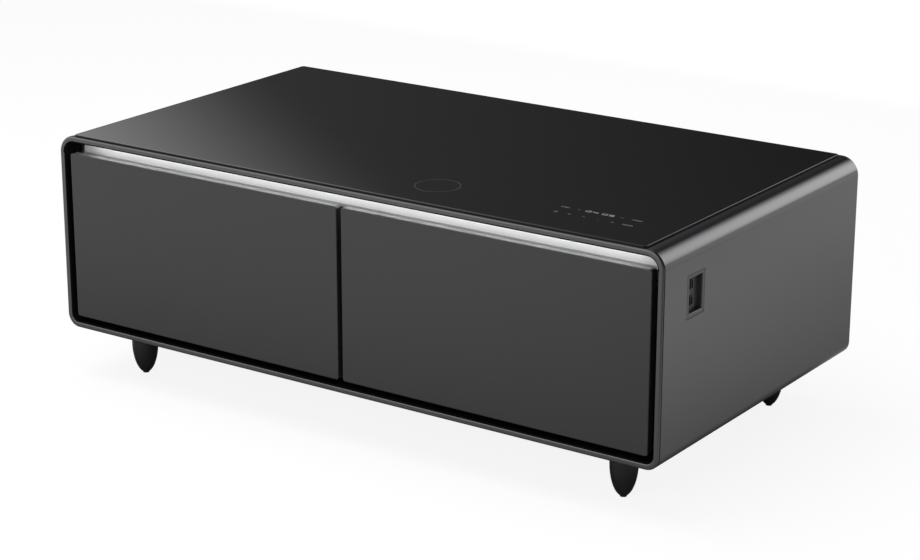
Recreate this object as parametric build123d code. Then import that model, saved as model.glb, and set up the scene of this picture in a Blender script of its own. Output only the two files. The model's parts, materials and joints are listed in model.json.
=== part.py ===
from build123d import *
import math
import os

# Refrigerator coffee table: a rounded steel body on four bullet feet, with two cooled drawers on ball
# slides, a lit finger gap above them, a glass top with touch controls and a wireless charger, a small
# charging outlet in the right side and the refrigerating unit in a bay behind the drawers.
# Lengths are in millimetres. The origin is on the floor under the middle of the body. +X points to the
# right as seen from the drawers, -Y to the front and +Z up.

# Body
BODY_WIDTH = 1300.0
BODY_DEPTH = 700.0
BODY_HEIGHT = 376.5
TOP_CORNER = 34.0
BOTTOM_CORNER = 26.0
SHELL_WALL = 1.5
BACK_RECESS = 10.0
REAR_FOLD_WIDTH = 14.0
BACK_PANEL_WALL = 1.2
FOLD_SCREW_SHARES = (-0.8, -0.27, 0.27, 0.8)
CHASSIS_WALL = 2.0
CHASSIS_SIDE_INSET = 48.0

# Clearances
FIT = 0.3
SLIP = 0.05
OVERRUN = 2.0

# Feet
FOOT_HEIGHT = 97.0
FOOT_RADIUS = 25.0
FOOT_CURVE_HEIGHT = 62.0
FOOT_COLLAR = 8.0
FOOT_GROOVE = 1.2
FOOT_CURVE_STEPS = 6
FOOT_SIDE_INSET = 115.5
FOOT_END_INSET = 87.0
PAD_RADIUS = 6.0
PAD_HEIGHT = 2.0
STUD_RADIUS = 4.0
STUD_DEPTH = 30.0
NUT_ACROSS_FLATS = 13.0
NUT_HEIGHT = 6.5
STUD_TIP = 2.0

# Front trim frame
RIM_WIDTH = 12.0
RIM_LIP = 4.5
RIM_ROUND = 4.0
RIM_BAR_DEPTH = 22.0
FLANGE_SETBACK = 58.0
FACE_FRAME_WALL = 3.0

# Glass top
GLASS_THICKNESS = 4.0
GLASS_SIDE_INSET = 36.0
GLASS_FRONT_INSET = 2.0
GLASS_BACK_INSET = 8.0
GLASS_CORNER = 6.0
GLASS_BEVEL = 0.8

# Lit finger gap
FINGER_GAP = 22.0
REFLECTOR_SETBACK = 45.0
REFLECTOR_WALL = 1.5
REFLECTOR_HEIGHT = 29.0
REFLECTOR_JOINT = 0.6
HEADER_HEIGHT = 52.0
LIGHT_BAY_END = 38.0
LED_CHANNEL_WIDTH = 12.0
LED_CHANNEL_HEIGHT = 6.0
LED_CHANNEL_WALL = 1.2
LED_CHANNEL_SETBACK = 24.0
LED_LENS_DROP = 1.6
LED_END_GAP = 12.0

# Drawer fronts
FRONT_RECESS = 3.0
FRONT_SIDE_GAP = 11.2
FRONT_MIDDLE_GAP = 9.6
FRONT_BOTTOM_GAP = 11.0
FRONT_CORNER = 5.0
FRONT_WALL = 1.2
FRONT_RETURN = 15.0
GRIP_WALL = 1.5
GRIP_LIP = 6.0
CORE_THICKNESS = 32.0
CORE_INSET = 3.0
CORE_CORNER = 8.0
CORE_EDGE_ROUND = 3.0
POCKET_DEPTH = 34.0
GASKET_WIDTH = 12.0
GASKET_OFFSET = 1.75
GASKET_CORNER = 12.0
GASKET_FOOT_WIDTH = 7.0
GASKET_FOOT_DEPTH = 4.0

# Cooled compartments
CELL_SIDE_MARGIN = 17.75
CELL_TOP_MARGIN = 15.0
CELL_LIFT = 41.0
CELL_CORNER = 14.0
LINER_WALL = 2.0
LINER_FLANGE = 8.0
FOAM_BACK = 38.0
BAY_WALL = 1.0
BAY_DEPTH = 152.8

# Drawer bins
BIN_BACK_GAP = 24.0
BIN_TOP_GAP = 28.0
BIN_LIFT = 8.0
BIN_WALL = 2.5
BIN_FLOOR = 3.0
BIN_CORNER = 20.0
BIN_RIM = 6.0
BIN_RIM_WALL = 3.0
BIN_RIM_SKIRT = 9.0
BIN_RIB_HEIGHT = 5.0
BIN_RIB_WALL = 2.0
BIN_RIB_PITCH = 78.0
BIN_RIB_MARGIN = 22.0
BIN_SLOT_WIDTH = 8.0
BIN_SLOT_HEIGHT = 60.0
BIN_SLOT_PITCH = 46.0
BIN_SLOT_MARGIN = 70.0
BIN_SLOT_DROP = 36.0

# Three-member ball slides
RAIL_BACK_GAP = 24.0
RAIL_SETBACK = 4.0
RAIL_LIFT = 45.0
RAIL_HEIGHT = 45.7
RAIL_STACK = 12.7
RAIL_EDGE_GAP = 0.5
RAIL_SHEET = 1.5
RAIL_GAP = 0.8
OUTER_FLANGE = 2.9
MIDDLE_FLANGE = 3.0
INNER_FLANGE = 2.4
RACE_RADIUS = 1.62
OUTER_RACE_X = 9.0
INNER_RACE_X = 6.6

# Screws
SCREW_RADIUS = 2.0
SCREW_HEAD_RADIUS = 4.0
SCREW_HEAD_HEIGHT = 2.4
SCREW_HOLE_GAP = 0.2
PANEL_SCREW_LENGTH = 7.0
BIN_SCREW_LENGTH = 14.0
BIN_SCREW_EDGE = 40.0

# Wireless charger and touch panel under the glass
CHARGER_TO_TOUCH = 313.0
CHARGER_SETBACK = 104.0
CHARGER_RADIUS = 36.0
CHARGER_DEPTH = 16.0
COIL_OUTER = 27.0
COIL_INNER = 11.0
COIL_THICKNESS = 1.6
TOUCH_SIDE_INSET = 197.5
TOUCH_SETBACK = 104.0
TOUCH_WIDTH = 176.0
TOUCH_LENGTH = 74.0
TOUCH_DEPTH = 14.0
TOUCH_CORNER = 4.0
MODULE_WALL = 2.0
BOARD_THICKNESS = 1.6
DISPLAY_WIDTH = 48.0
DISPLAY_LENGTH = 12.0
DISPLAY_HEIGHT = 4.0
TOUCH_PAD_SHARES = (-0.38, -0.24, -0.1, 0.1, 0.24, 0.38)
TOUCH_POST_SHARE = 0.4

# Charging outlet in the right side
OUTLET_SETBACK = 105.5
OUTLET_DROP = 92.0
OUTLET_LENGTH = 54.0
OUTLET_HEIGHT = 64.0
OUTLET_CORNER = 2.0
BEZEL_BORDER = 7.0
BEZEL_WALL = 2.0
BEZEL_BEVEL = 1.2
OUTLET_RECESS = 7.0
OUTLET_BODY_DEPTH = 24.0
PORT_WIDTH = 5.2
PORT_HEIGHT = 13.2
PORT_DEPTH = 12.0
PORT_PITCH = 22.0
PORT_COLLAR = 1.4
PORT_COLLAR_RISE = 2.5
TONGUE_THICKNESS = 1.9
TONGUE_HEIGHT = 11.2
TONGUE_LENGTH = 9.0

# Refrigerating unit
COMPRESSOR_SIDE_INSET = 320.0
COMPRESSOR_LENGTH = 152.0
COMPRESSOR_DEPTH = 112.0
COMPRESSOR_HEIGHT = 140.0
COMPRESSOR_ROUND = 24.0
SEAM_HEIGHT = 5.0
SEAM_WIDTH = 3.0
SEAM_LIFT = 66.0
MOUNT_PLATE_LENGTH = 196.0
MOUNT_PLATE_DEPTH = 120.0
MOUNT_PLATE_WALL = 3.0
MOUNT_EDGE = 16.0
MOUNT_HEIGHT = 14.0
MOUNT_RADIUS = 12.0
MOUNT_NECK = 6.0
MOUNT_CAP = 3.0
TERMINAL_LENGTH = 20.0
TERMINAL_WIDTH = 46.0
TERMINAL_HEIGHT = 58.0
TERMINAL_ROUND = 4.0
STUB_LENGTH = 12.0
UNIT_SETBACK = 78.0
CONDENSER_SIDE_INSET = 433.0
CONDENSER_HEIGHT = 232.0
CONDENSER_SPAN = 112.0
HEADER_RADIUS = 8.0
CONDENSER_TUBE_COUNT = 10
CONDENSER_TUBE_WALL = 2.0
CONDENSER_TUBE_WIDTH = 18.0
FIN_FOLD_PITCH = 12.0
FIN_WALL = 0.8
SHROUD_WALL = 3.0
SHROUD_RIM = 8.0
SHROUD_FOOT = 20.0
SHROUD_MARGIN = 6.0
FAN_SIZE = 120.0
FAN_THICKNESS = 25.0
FAN_CORNER = 6.0
FAN_DUCT_RADIUS = 57.0
FAN_HUB_RADIUS = 20.0
FAN_HUB_LENGTH = 17.0
FAN_MOUNT_WALL = 3.5
FAN_STRUT_WIDTH = 5.0
FAN_STRUT_ANGLES = (45.0, 135.0)
FAN_PIN_RADIUS = 2.0
FAN_BLADE_COUNT = 7
FAN_BLADE_TIP = 54.5
FAN_BLADE_WALL = 1.6
FAN_ROOT_CHORD = 17.0
FAN_TIP_CHORD = 26.0
FAN_ROOT_PITCH = 48.0
FAN_TIP_PITCH = 26.0
FAN_END_GAP = 1.0
EVAPORATOR_SIDE_GAP = 53.0
EVAPORATOR_END_GAP = 38.5
EVAPORATOR_WALL = 1.5
CHANNEL_WIDTH = 9.0
CHANNEL_RISE = 2.5
CHANNEL_RUNS = 5
CHANNEL_MARGIN = 20.0
TUBE_RADIUS = 4.0
TUBE_HOLE_GAP = 0.5
TUBE_STUB = 8.0
EVAPORATOR_TUBE_INSET = 40.0
PIPE_BEND = 14.0
PIPE_OFFSET = 26.0
PIPE_RISE = 44.0
DRIER_RADIUS = 9.5
DRIER_LENGTH = 90.0
DRIER_NECK = 12.0
DRIER_OFFSET = 80.0
PAN_END_GAP = 40.0
PAN_DEPTH = 120.0
PAN_HEIGHT = 28.0
PAN_WALL = 2.0
PAN_CORNER = 12.0
CONTROL_WIDTH = 150.0
CONTROL_HEIGHT = 86.0
CONTROL_DROP = 113.0
STANDOFF_HEIGHT = 8.0
STANDOFF_RADIUS = 4.0
STANDOFF_INSET = 7.0
PART_HEIGHT = 18.0
CONTROL_CAN_RADIUS = 7.0
# Each row: middle in shares of the board's width and height, then width and height in the same shares
CONTROL_BLOCK_SHARES = (
    (-0.3, 0.12, 0.22, 0.4),
    (0.0, 0.2, 0.13, 0.24),
    (0.0, -0.2, 0.13, 0.24),
    (0.32, -0.28, 0.26, 0.14),
)
CONTROL_CAN_SHARES = ((0.22, 0.2), (0.36, 0.2))

# Power inlet and vents in the back panel
INLET_SIDE_INSET = 130.0
INLET_LIFT = 60.0
INLET_FLANGE_WIDTH = 50.0
INLET_FLANGE_HEIGHT = 26.0
INLET_FLANGE_WALL = 2.5
INLET_FLANGE_CORNER = 5.0
INLET_BODY_WIDTH = 28.4
INLET_BODY_HEIGHT = 20.8
INLET_BODY_DEPTH = 20.0
INLET_WALL = 2.0
INLET_CHAMFER = 4.5
INLET_CAVITY_DEPTH = 17.0
PIN_WIDTH = 2.0
PIN_HEIGHT = 4.0
PIN_LENGTH = 14.0
PIN_SPREAD = 7.0
PIN_RISE = 2.0
VENT_WIDTH = 62.0
VENT_HEIGHT = 6.0
VENT_PITCH_Z = 18.0
VENT_PITCH_X = 74.0
VENT_ROWS = 9
VENT_COLUMNS = 3
VENT_SIDE_INSET = 350.0
VENT_HOOD = 4.0
VENT_HOOD_WALL = 1.0

# Places worked out from the sizes above
X_SIDE = BODY_WIDTH / 2
Y_FRONT = -BODY_DEPTH / 2
Y_BACK = BODY_DEPTH / 2
Z_UNDER = FOOT_HEIGHT
Z_ROOF = Z_UNDER + BODY_HEIGHT
Z_MID = Z_UNDER + BODY_HEIGHT / 2
Z_FLOOR_PLATE = Z_UNDER + SHELL_WALL
Z_CHASSIS = Z_FLOOR_PLATE + CHASSIS_WALL
Y_LIP_BACK = Y_FRONT + RIM_LIP
Y_FLANGE = Y_FRONT + FLANGE_SETBACK
Y_CELL_FRONT = Y_FLANGE + FACE_FRAME_WALL
Y_PANEL_BACK = Y_BACK - BACK_RECESS
Y_PANEL_FRONT = Y_PANEL_BACK - BACK_PANEL_WALL
Y_FOLD_FRONT = Y_PANEL_FRONT - SHELL_WALL
Y_BAY_FRONT = Y_PANEL_FRONT - BAY_DEPTH
Y_FOAM_BACK = Y_BAY_FRONT - BAY_WALL
Y_CELL_BACK = Y_FOAM_BACK - FOAM_BACK - LINER_WALL
FRONT_WIDTH = (BODY_WIDTH - FRONT_MIDDLE_GAP) / 2 - RIM_WIDTH - FRONT_SIDE_GAP
DRAWER_X = (FRONT_MIDDLE_GAP + FRONT_WIDTH) / 2
Z_FRONT_BOTTOM = Z_UNDER + RIM_WIDTH + FRONT_BOTTOM_GAP
Z_FRONT_TOP = Z_ROOF - RIM_WIDTH - FINGER_GAP
Z_FRONT_MID = (Z_FRONT_BOTTOM + Z_FRONT_TOP) / 2
FRONT_HEIGHT = Z_FRONT_TOP - Z_FRONT_BOTTOM
Y_FACE = Y_FRONT + FRONT_RECESS
Y_RETURN_BACK = Y_FACE + FRONT_RETURN
Y_CORE_BACK = Y_RETURN_BACK + CORE_THICKNESS
Z_CORE_TOP = Z_FRONT_TOP - POCKET_DEPTH
CELL_WIDTH = FRONT_WIDTH - 2 * CELL_SIDE_MARGIN
Z_CELL_FLOOR = Z_UNDER + CELL_LIFT
Z_CELL_TOP = Z_CORE_TOP - CELL_TOP_MARGIN
CELL_HEIGHT = Z_CELL_TOP - Z_CELL_FLOOR
Z_CELL_MID = (Z_CELL_FLOOR + Z_CELL_TOP) / 2
Z_REFLECTOR_BOTTOM = Z_ROOF - RIM_WIDTH - REFLECTOR_HEIGHT
Z_HEADER_BOTTOM = Z_ROOF - RIM_WIDTH - HEADER_HEIGHT
Y_REFLECTOR = Y_FRONT + REFLECTOR_SETBACK
BAY_HALF = X_SIDE - LIGHT_BAY_END
Z_RAIL = Z_CELL_FLOOR + RAIL_LIFT
Y_RAIL_FRONT = Y_CELL_FRONT + RAIL_SETBACK
Y_RAIL_BACK = Y_CELL_BACK - RAIL_BACK_GAP
BIN_WIDTH = CELL_WIDTH - 2 * RAIL_STACK
Z_BIN_BOTTOM = Z_CELL_FLOOR + BIN_LIFT
Z_BIN_TOP = Z_CELL_TOP - BIN_TOP_GAP
Y_BIN_BACK = Y_CELL_BACK - BIN_BACK_GAP
BIN_LENGTH = Y_BIN_BACK - Y_CORE_BACK
Y_BIN_MID = Y_CORE_BACK + BIN_LENGTH / 2
Y_UNIT = Y_PANEL_FRONT - UNIT_SETBACK
EVAPORATOR_WIDTH = CELL_WIDTH - 2 * EVAPORATOR_SIDE_GAP
EVAPORATOR_HEIGHT = CELL_HEIGHT - 2 * EVAPORATOR_END_GAP
TUBE_SPREAD = EVAPORATOR_WIDTH / 2 - EVAPORATOR_TUBE_INSET
Z_TUBE = Z_CELL_TOP - EVAPORATOR_END_GAP - CHANNEL_MARGIN
Y_TUBE_END = Y_BAY_FRONT + TUBE_STUB
Z_MOUNT_PLATE = Z_CHASSIS + MOUNT_HEIGHT
Z_COMPRESSOR = Z_MOUNT_PLATE + MOUNT_PLATE_WALL
Z_CONDENSER = Z_CHASSIS
Z_FAN = Z_CONDENSER + CONDENSER_HEIGHT / 2
CONDENSER_X = CONDENSER_SIDE_INSET - X_SIDE
X_SHROUD = CONDENSER_X + CONDENSER_TUBE_WIDTH / 2 + SHROUD_RIM
X_FAN = X_SHROUD + SHROUD_WALL
COMPRESSOR_X = X_SIDE - COMPRESSOR_SIDE_INSET
X_PAN_LEFT = X_FAN + FAN_THICKNESS + PAN_END_GAP
X_PAN_RIGHT = COMPRESSOR_X - MOUNT_PLATE_LENGTH / 2 - PAN_END_GAP
TOUCH_X = X_SIDE - TOUCH_SIDE_INSET
CHARGER_X = TOUCH_X - CHARGER_TO_TOUCH
VENT_X = X_SIDE - VENT_SIDE_INSET
INLET_X = INLET_SIDE_INSET - X_SIDE
FOOT_X = X_SIDE - FOOT_SIDE_INSET
FOOT_Y = Y_BACK - FOOT_END_INSET
SIDES = {"left": -1, "right": 1}
CORNERS = {
    "front_left": (-1, -1),
    "front_right": (1, -1),
    "rear_left": (-1, 1),
    "rear_right": (1, 1),
}


# Shared shapes
def span_box(x_low, x_high, y_low, y_high, z_low, z_high):
    """Box between two corners."""
    middle = Pos((x_low + x_high) / 2, (y_low + y_high) / 2, (z_low + z_high) / 2)
    return middle * Box(x_high - x_low, y_high - y_low, z_high - z_low)


def prism(plane, outline, length):
    """Prism of an outline drawn on a plane, along the plane's normal."""
    return extrude(plane * outline, amount=length, dir=plane.z_dir)


def slab(outline, y_low, y_high):
    """Prism along Y of an outline drawn in X and Z."""
    return prism(Plane.XZ.offset(-y_high), outline, y_high - y_low)


def column(outline, z_low, z_high):
    """Prism along Z of an outline drawn in X and Y."""
    return prism(Plane.XY.offset(z_low), outline, z_high - z_low)


def beam_plane(x, y, z):
    """Plane across X, with its own X along Y and its own Y upwards."""
    return Plane(origin=(x, y, z), x_dir=(0, 1, 0), z_dir=(1, 0, 0))


def rod(start, direction, radius, length):
    """Round bar from a start point."""
    return prism(Plane(origin=start, z_dir=direction), Circle(radius), length)


def body_outline(inset):
    """Outline of the body in X and Z, rounder above than below, moved in by an inset."""
    outline = Rectangle(BODY_WIDTH - 2 * inset, BODY_HEIGHT - 2 * inset)
    outline = fillet(outline.vertices().group_by(Axis.Y)[-1], TOP_CORNER - inset)
    outline = fillet(outline.vertices().group_by(Axis.Y)[0], BOTTOM_CORNER - inset)
    return Pos(0, Z_MID) * outline


def cell_outline(x_mid, margin):
    """Outline of a compartment in X and Z, moved out by a margin."""
    return Pos(x_mid, Z_CELL_MID) * RectangleRounded(
        CELL_WIDTH + 2 * margin, CELL_HEIGHT + 2 * margin, CELL_CORNER + margin
    )


def screw(start, direction, length):
    """Pan-head screw whose head rests on the start point."""
    forward = Vector(*direction)
    shank = rod(start, direction, SCREW_RADIUS, length)
    head = rod(start - forward * SCREW_HEAD_HEIGHT, direction, SCREW_HEAD_RADIUS, SCREW_HEAD_HEIGHT)
    crown = head.faces().sort_by(Axis(start, forward))[0].outer_wire().edges()
    return chamfer(crown, SCREW_HEAD_HEIGHT / 2) + shank


def pipe(points, radius):
    """Bent copper tube along straight runs and round bends."""
    route = FilletPolyline(*points, radius=PIPE_BEND)
    return sweep(Plane(origin=route @ 0, z_dir=route % 0) * Circle(radius), path=route)


# Steel body
def fold_points():
    """Places of the back panel's screws, in X and Z, on the rear fold."""
    reach_x = X_SIDE - SHELL_WALL - REAR_FOLD_WIDTH / 2
    reach_z = BODY_HEIGHT / 2 - SHELL_WALL - REAR_FOLD_WIDTH / 2
    across = [(share * reach_x, side * reach_z) for share in FOLD_SCREW_SHARES for side in (-1, 1)]
    upright = [(side * reach_x, 0) for side in (-1, 1)]
    return [(x, Z_MID + z) for x, z in across + upright]


def outer_shell():
    """Steel wrap with its rear fold, the windows under the glass and the outlet's window."""
    shell = slab(body_outline(0) - body_outline(SHELL_WALL), Y_LIP_BACK, Y_BACK)
    fold = body_outline(SHELL_WALL) - body_outline(SHELL_WALL + REAR_FOLD_WIDTH)
    shell += slab(fold, Y_FOLD_FRONT, Y_PANEL_FRONT)
    roof = (Z_ROOF - SHELL_WALL - OVERRUN, Z_ROOF + OVERRUN)
    shell -= column(charger_outline(FIT), *roof)
    shell -= column(touch_outline(FIT), *roof)
    shell -= outlet_prism(FIT, X_SIDE - SHELL_WALL - OVERRUN, X_SIDE + OVERRUN)
    for x, z in fold_points():
        shell -= rod((x, Y_PANEL_BACK, z), (0, -1, 0), SCREW_RADIUS + SCREW_HOLE_GAP, PANEL_SCREW_LENGTH)
    return shell - stud_holes(Z_UNDER - OVERRUN, Z_FLOOR_PLATE + OVERRUN)


def stud_holes(z_low, z_high):
    """Clearance holes for the four foot studs."""
    holes = [Pos(x * FOOT_X, y * FOOT_Y) * Circle(STUD_RADIUS + FIT) for x, y in CORNERS.values()]
    return column(Sketch() + holes, z_low, z_high)


def chassis_plate():
    """Floor plate that spreads the load of the feet and carries the refrigerating unit."""
    half = X_SIDE - CHASSIS_SIDE_INSET
    plate = span_box(-half, half, Y_CELL_FRONT, Y_FOLD_FRONT, Z_FLOOR_PLATE, Z_CHASSIS)
    return plate - stud_holes(Z_FLOOR_PLATE - OVERRUN, Z_CHASSIS + OVERRUN)


def front_trim_frame():
    """Rim round the drawer opening: a rounded lip and a spigot that plugs into the shell."""
    lip = slab(body_outline(0) - body_outline(RIM_WIDTH), Y_FRONT, Y_LIP_BACK)
    lip = fillet(lip.faces().sort_by(Axis.Y)[0].edges(), RIM_ROUND)
    spigot = body_outline(SHELL_WALL + FIT) - body_outline(RIM_WIDTH)
    frame = lip + slab(spigot, Y_LIP_BACK, Y_FLANGE)
    bay_front = Y_FRONT + RIM_BAR_DEPTH
    z_low = Z_ROOF - RIM_WIDTH - OVERRUN
    return frame - span_box(-BAY_HALF, BAY_HALF, bay_front, Y_FLANGE + OVERRUN, z_low, Z_ROOF)


def face_frame():
    """Steel sealing face round both compartments."""
    outline = body_outline(SHELL_WALL + FIT)
    for side in SIDES.values():
        outline -= cell_outline(side * DRAWER_X, 0)
    return slab(outline, Y_FLANGE, Y_CELL_FRONT)


def top_glass():
    """Glass plate lying on the roof of the shell."""
    width = BODY_WIDTH - 2 * GLASS_SIDE_INSET
    length = BODY_DEPTH - GLASS_FRONT_INSET - GLASS_BACK_INSET
    place = Pos(0, (GLASS_FRONT_INSET - GLASS_BACK_INSET) / 2)
    outline = place * RectangleRounded(width, length, GLASS_CORNER)
    glass = column(outline, Z_ROOF, Z_ROOF + GLASS_THICKNESS)
    return chamfer(glass.faces().sort_by(Axis.Z)[-1].outer_wire().edges(), GLASS_BEVEL)


def vent_places():
    """Middles of the louvres in X and Z, in two groups."""
    columns = [(i - (VENT_COLUMNS - 1) / 2) * VENT_PITCH_X for i in range(VENT_COLUMNS)]
    rows = [(i - (VENT_ROWS - 1) / 2) * VENT_PITCH_Z for i in range(VENT_ROWS)]
    return [(side * VENT_X + x, Z_MID + z) for side in SIDES.values() for x in columns for z in rows]


def louvre(x, z):
    """Sloping hood over one slot, open at the bottom."""
    depth, low, high = VENT_HOOD, -VENT_HEIGHT / 2, VENT_HEIGHT / 2
    outer = [(0, high + depth), (depth, high), (depth, low), (0, low)]
    wall = VENT_HOOD_WALL
    inner = [(0, high), (depth - wall, high - wall), (depth - wall, low - wall), (0, low - wall)]
    end = beam_plane(x - VENT_WIDTH / 2, Y_PANEL_BACK, z)
    hood = prism(end, Polygon(*outer, align=None), VENT_WIDTH)
    return hood - prism(end.offset(wall), Polygon(*inner, align=None), VENT_WIDTH - 2 * wall)


def back_panel():
    """Recessed back panel with two groups of louvres and the inlet's cut-out."""
    panel = slab(body_outline(SHELL_WALL + FIT), Y_PANEL_FRONT, Y_PANEL_BACK)
    slot = Rectangle(VENT_WIDTH - 2 * VENT_HOOD_WALL, VENT_HEIGHT)
    cuts = Sketch() + [Pos(x, z) * slot for x, z in vent_places()]
    cuts += inlet_outline(FIT)
    cuts += [Pos(x, z) * Circle(SCREW_RADIUS + SCREW_HOLE_GAP) for x, z in fold_points()]
    panel -= slab(cuts, Y_PANEL_FRONT - OVERRUN, Y_PANEL_BACK + OVERRUN)
    for x, z in vent_places():
        panel += louvre(x, z)
    return panel


def back_panel_screws():
    """Screws through the back panel into the rear fold."""
    return [screw(Vector(x, Y_PANEL_BACK, z), (0, -1, 0), PANEL_SCREW_LENGTH) for x, z in fold_points()]


# Feet
def foot(x_side, y_side):
    """Turned bullet foot with a grooved collar and a bore for its stud."""
    length = FOOT_HEIGHT - FOOT_COLLAR
    collar_low = length + FOOT_GROOVE
    curve = FOOT_CURVE_HEIGHT
    tip_turn = math.asin((curve - PAD_HEIGHT) / curve)
    turns = [tip_turn * (1 - i / FOOT_CURVE_STEPS) for i in range(FOOT_CURVE_STEPS + 1)]
    points = [(FOOT_RADIUS * math.cos(turn), curve * (1 - math.sin(turn))) for turn in turns]
    slope = (math.sin(tip_turn) * FOOT_RADIUS, math.cos(tip_turn) * curve)
    bullet = Spline(*points, tangents=(slope, (0, 1)))
    rest = Polyline(
        bullet @ 1,
        (FOOT_RADIUS, length),
        (FOOT_RADIUS - FOOT_GROOVE, length),
        (FOOT_RADIUS - FOOT_GROOVE, collar_low),
        (FOOT_RADIUS, collar_low),
        (FOOT_RADIUS, FOOT_HEIGHT),
        (0, FOOT_HEIGHT),
        (0, PAD_HEIGHT),
        bullet @ 0,
    )
    turned = revolve(Plane.XZ * make_face(bullet + rest), axis=Axis.Z)
    bore = column(Circle(STUD_RADIUS + SLIP), FOOT_HEIGHT - STUD_DEPTH - SLIP, FOOT_HEIGHT + OVERRUN)
    return Pos(x_side * FOOT_X, y_side * FOOT_Y) * (turned - bore)


def foot_pads():
    """Round pads under the feet."""
    pad = column(Circle(PAD_RADIUS), 0, PAD_HEIGHT)
    return [Pos(x * FOOT_X, y * FOOT_Y) * pad for x, y in CORNERS.values()]


def foot_studs():
    """Threaded studs with their nuts on the chassis plate."""
    stud = column(Circle(STUD_RADIUS), FOOT_HEIGHT - STUD_DEPTH, Z_CHASSIS + NUT_HEIGHT + STUD_TIP)
    hexagon = RegularPolygon(NUT_ACROSS_FLATS / 2, 6, major_radius=False)
    nut = column(hexagon, Z_CHASSIS, Z_CHASSIS + NUT_HEIGHT)
    return [Pos(x * FOOT_X, y * FOOT_Y) * (stud + nut) for x, y in CORNERS.values()]


# Insulation and compartments
def liner(x_mid):
    """Moulded inner box of one compartment with a flange behind the sealing face."""
    box = slab(cell_outline(x_mid, LINER_WALL), Y_CELL_FRONT, Y_CELL_BACK + LINER_WALL)
    box += slab(cell_outline(x_mid, LINER_WALL + LINER_FLANGE), Y_CELL_FRONT, Y_CELL_FRONT + LINER_WALL)
    box -= slab(cell_outline(x_mid, 0), Y_CELL_FRONT - OVERRUN, Y_CELL_BACK)
    return box - tube_holes()


def tube_points():
    """Places of the evaporators' four tube ends, in X, from left to right."""
    return [side * DRAWER_X + spread for side in (-1, 1) for spread in (-TUBE_SPREAD, TUBE_SPREAD)]


def tube_holes():
    """Clearance for the evaporator tubes through the wall behind the compartments."""
    length = Y_TUBE_END - Y_CELL_BACK + 2 * OVERRUN
    start = Y_CELL_BACK - OVERRUN
    holes = [rod((x, start, Z_TUBE), (0, 1, 0), TUBE_RADIUS + TUBE_HOLE_GAP, length) for x in tube_points()]
    return Part() + holes


def insulation_foam():
    """Foam block that fills the space between the liners and the shell."""
    foam = slab(body_outline(SHELL_WALL + FIT), Y_CELL_FRONT, Y_FOAM_BACK)
    for side in SIDES.values():
        x_mid = side * DRAWER_X
        foam -= slab(cell_outline(x_mid, LINER_WALL), Y_CELL_FRONT - OVERRUN, Y_CELL_BACK + LINER_WALL)
        flange = cell_outline(x_mid, LINER_WALL + LINER_FLANGE)
        foam -= slab(flange, Y_CELL_FRONT - OVERRUN, Y_CELL_FRONT + LINER_WALL)
    half = X_SIDE - CHASSIS_SIDE_INSET + FIT
    foam -= span_box(-half, half, Y_CELL_FRONT - OVERRUN, Y_BACK, Z_UNDER, Z_CHASSIS)
    pocket = Sketch() + [Pos(x * FOOT_X, y * FOOT_Y) * Circle(NUT_ACROSS_FLATS) for x, y in CORNERS.values()]
    foam -= column(pocket, Z_UNDER, Z_CHASSIS + NUT_HEIGHT + 2 * STUD_TIP)
    foam -= column(charger_outline(FIT), Z_ROOF - CHARGER_DEPTH - FIT, Z_ROOF)
    foam -= column(touch_outline(FIT), Z_ROOF - TOUCH_DEPTH - FIT, Z_ROOF)
    foam -= outlet_prism(FIT, X_SIDE - OUTLET_BODY_DEPTH - FIT, X_SIDE)
    return foam - tube_holes()


def bay_wall():
    """Steel sheet behind the foam, the front wall of the machine bay."""
    wall = slab(body_outline(SHELL_WALL + FIT), Y_FOAM_BACK, Y_BAY_FRONT)
    half = X_SIDE - CHASSIS_SIDE_INSET + FIT
    wall -= span_box(-half, half, Y_FOAM_BACK - OVERRUN, Y_BACK, Z_UNDER, Z_CHASSIS)
    return wall - tube_holes()


# Lit finger gap
def gap_outline(z_low):
    """Inside of the rim above a height, in X and Z."""
    tall = Z_ROOF - z_low
    return body_outline(RIM_WIDTH + FIT) & Pos(0, z_low + tall / 2) * Rectangle(BODY_WIDTH, tall)


def light_bay(z_high):
    """Part of the finger gap's back wall that rises behind the rim's top bar."""
    half = BAY_HALF - FIT
    tall = z_high - (Z_ROOF - RIM_WIDTH - FIT)
    return Pos(0, z_high - tall / 2) * Rectangle(2 * half, tall)


def header_cover():
    """Dark cover of the cabinet's top rail, stepped to seat the reflector."""
    top = Z_ROOF - SHELL_WALL - FIT
    outline = gap_outline(Z_HEADER_BOTTOM) + light_bay(top)
    cover = slab(outline, Y_REFLECTOR, Y_FLANGE)
    step = Pos(0, (Z_REFLECTOR_BOTTOM + Z_ROOF) / 2) * Rectangle(BODY_WIDTH, Z_ROOF - Z_REFLECTOR_BOTTOM)
    return cover - slab(step, Y_REFLECTOR - OVERRUN, Y_REFLECTOR + REFLECTOR_WALL)


def light_reflector():
    """Bright strip along the back of the finger gap, in two halves that meet in the middle."""
    top = Z_ROOF - SHELL_WALL - FIT
    outline = gap_outline(Z_REFLECTOR_BOTTOM) + light_bay(top)
    strip = slab(outline, Y_REFLECTOR, Y_REFLECTOR + REFLECTOR_WALL)
    joint = REFLECTOR_JOINT / 2
    strip -= span_box(-joint, joint, Y_FRONT, Y_FLANGE, Z_UNDER, Z_ROOF)
    return strip.solids()


def led_channel():
    """Aluminium channel under the roof, open downwards, for the light strip."""
    half = BAY_HALF - LED_END_GAP
    top = Z_ROOF - SHELL_WALL
    front = Y_FRONT + LED_CHANNEL_SETBACK
    back = front + LED_CHANNEL_WIDTH
    wall = LED_CHANNEL_WALL
    channel = span_box(-half, half, front, back, top - LED_CHANNEL_HEIGHT, top)
    low = top - LED_CHANNEL_HEIGHT - OVERRUN
    return channel - span_box(-half - OVERRUN, half + OVERRUN, front + wall, back - wall, low, top - wall)


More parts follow.
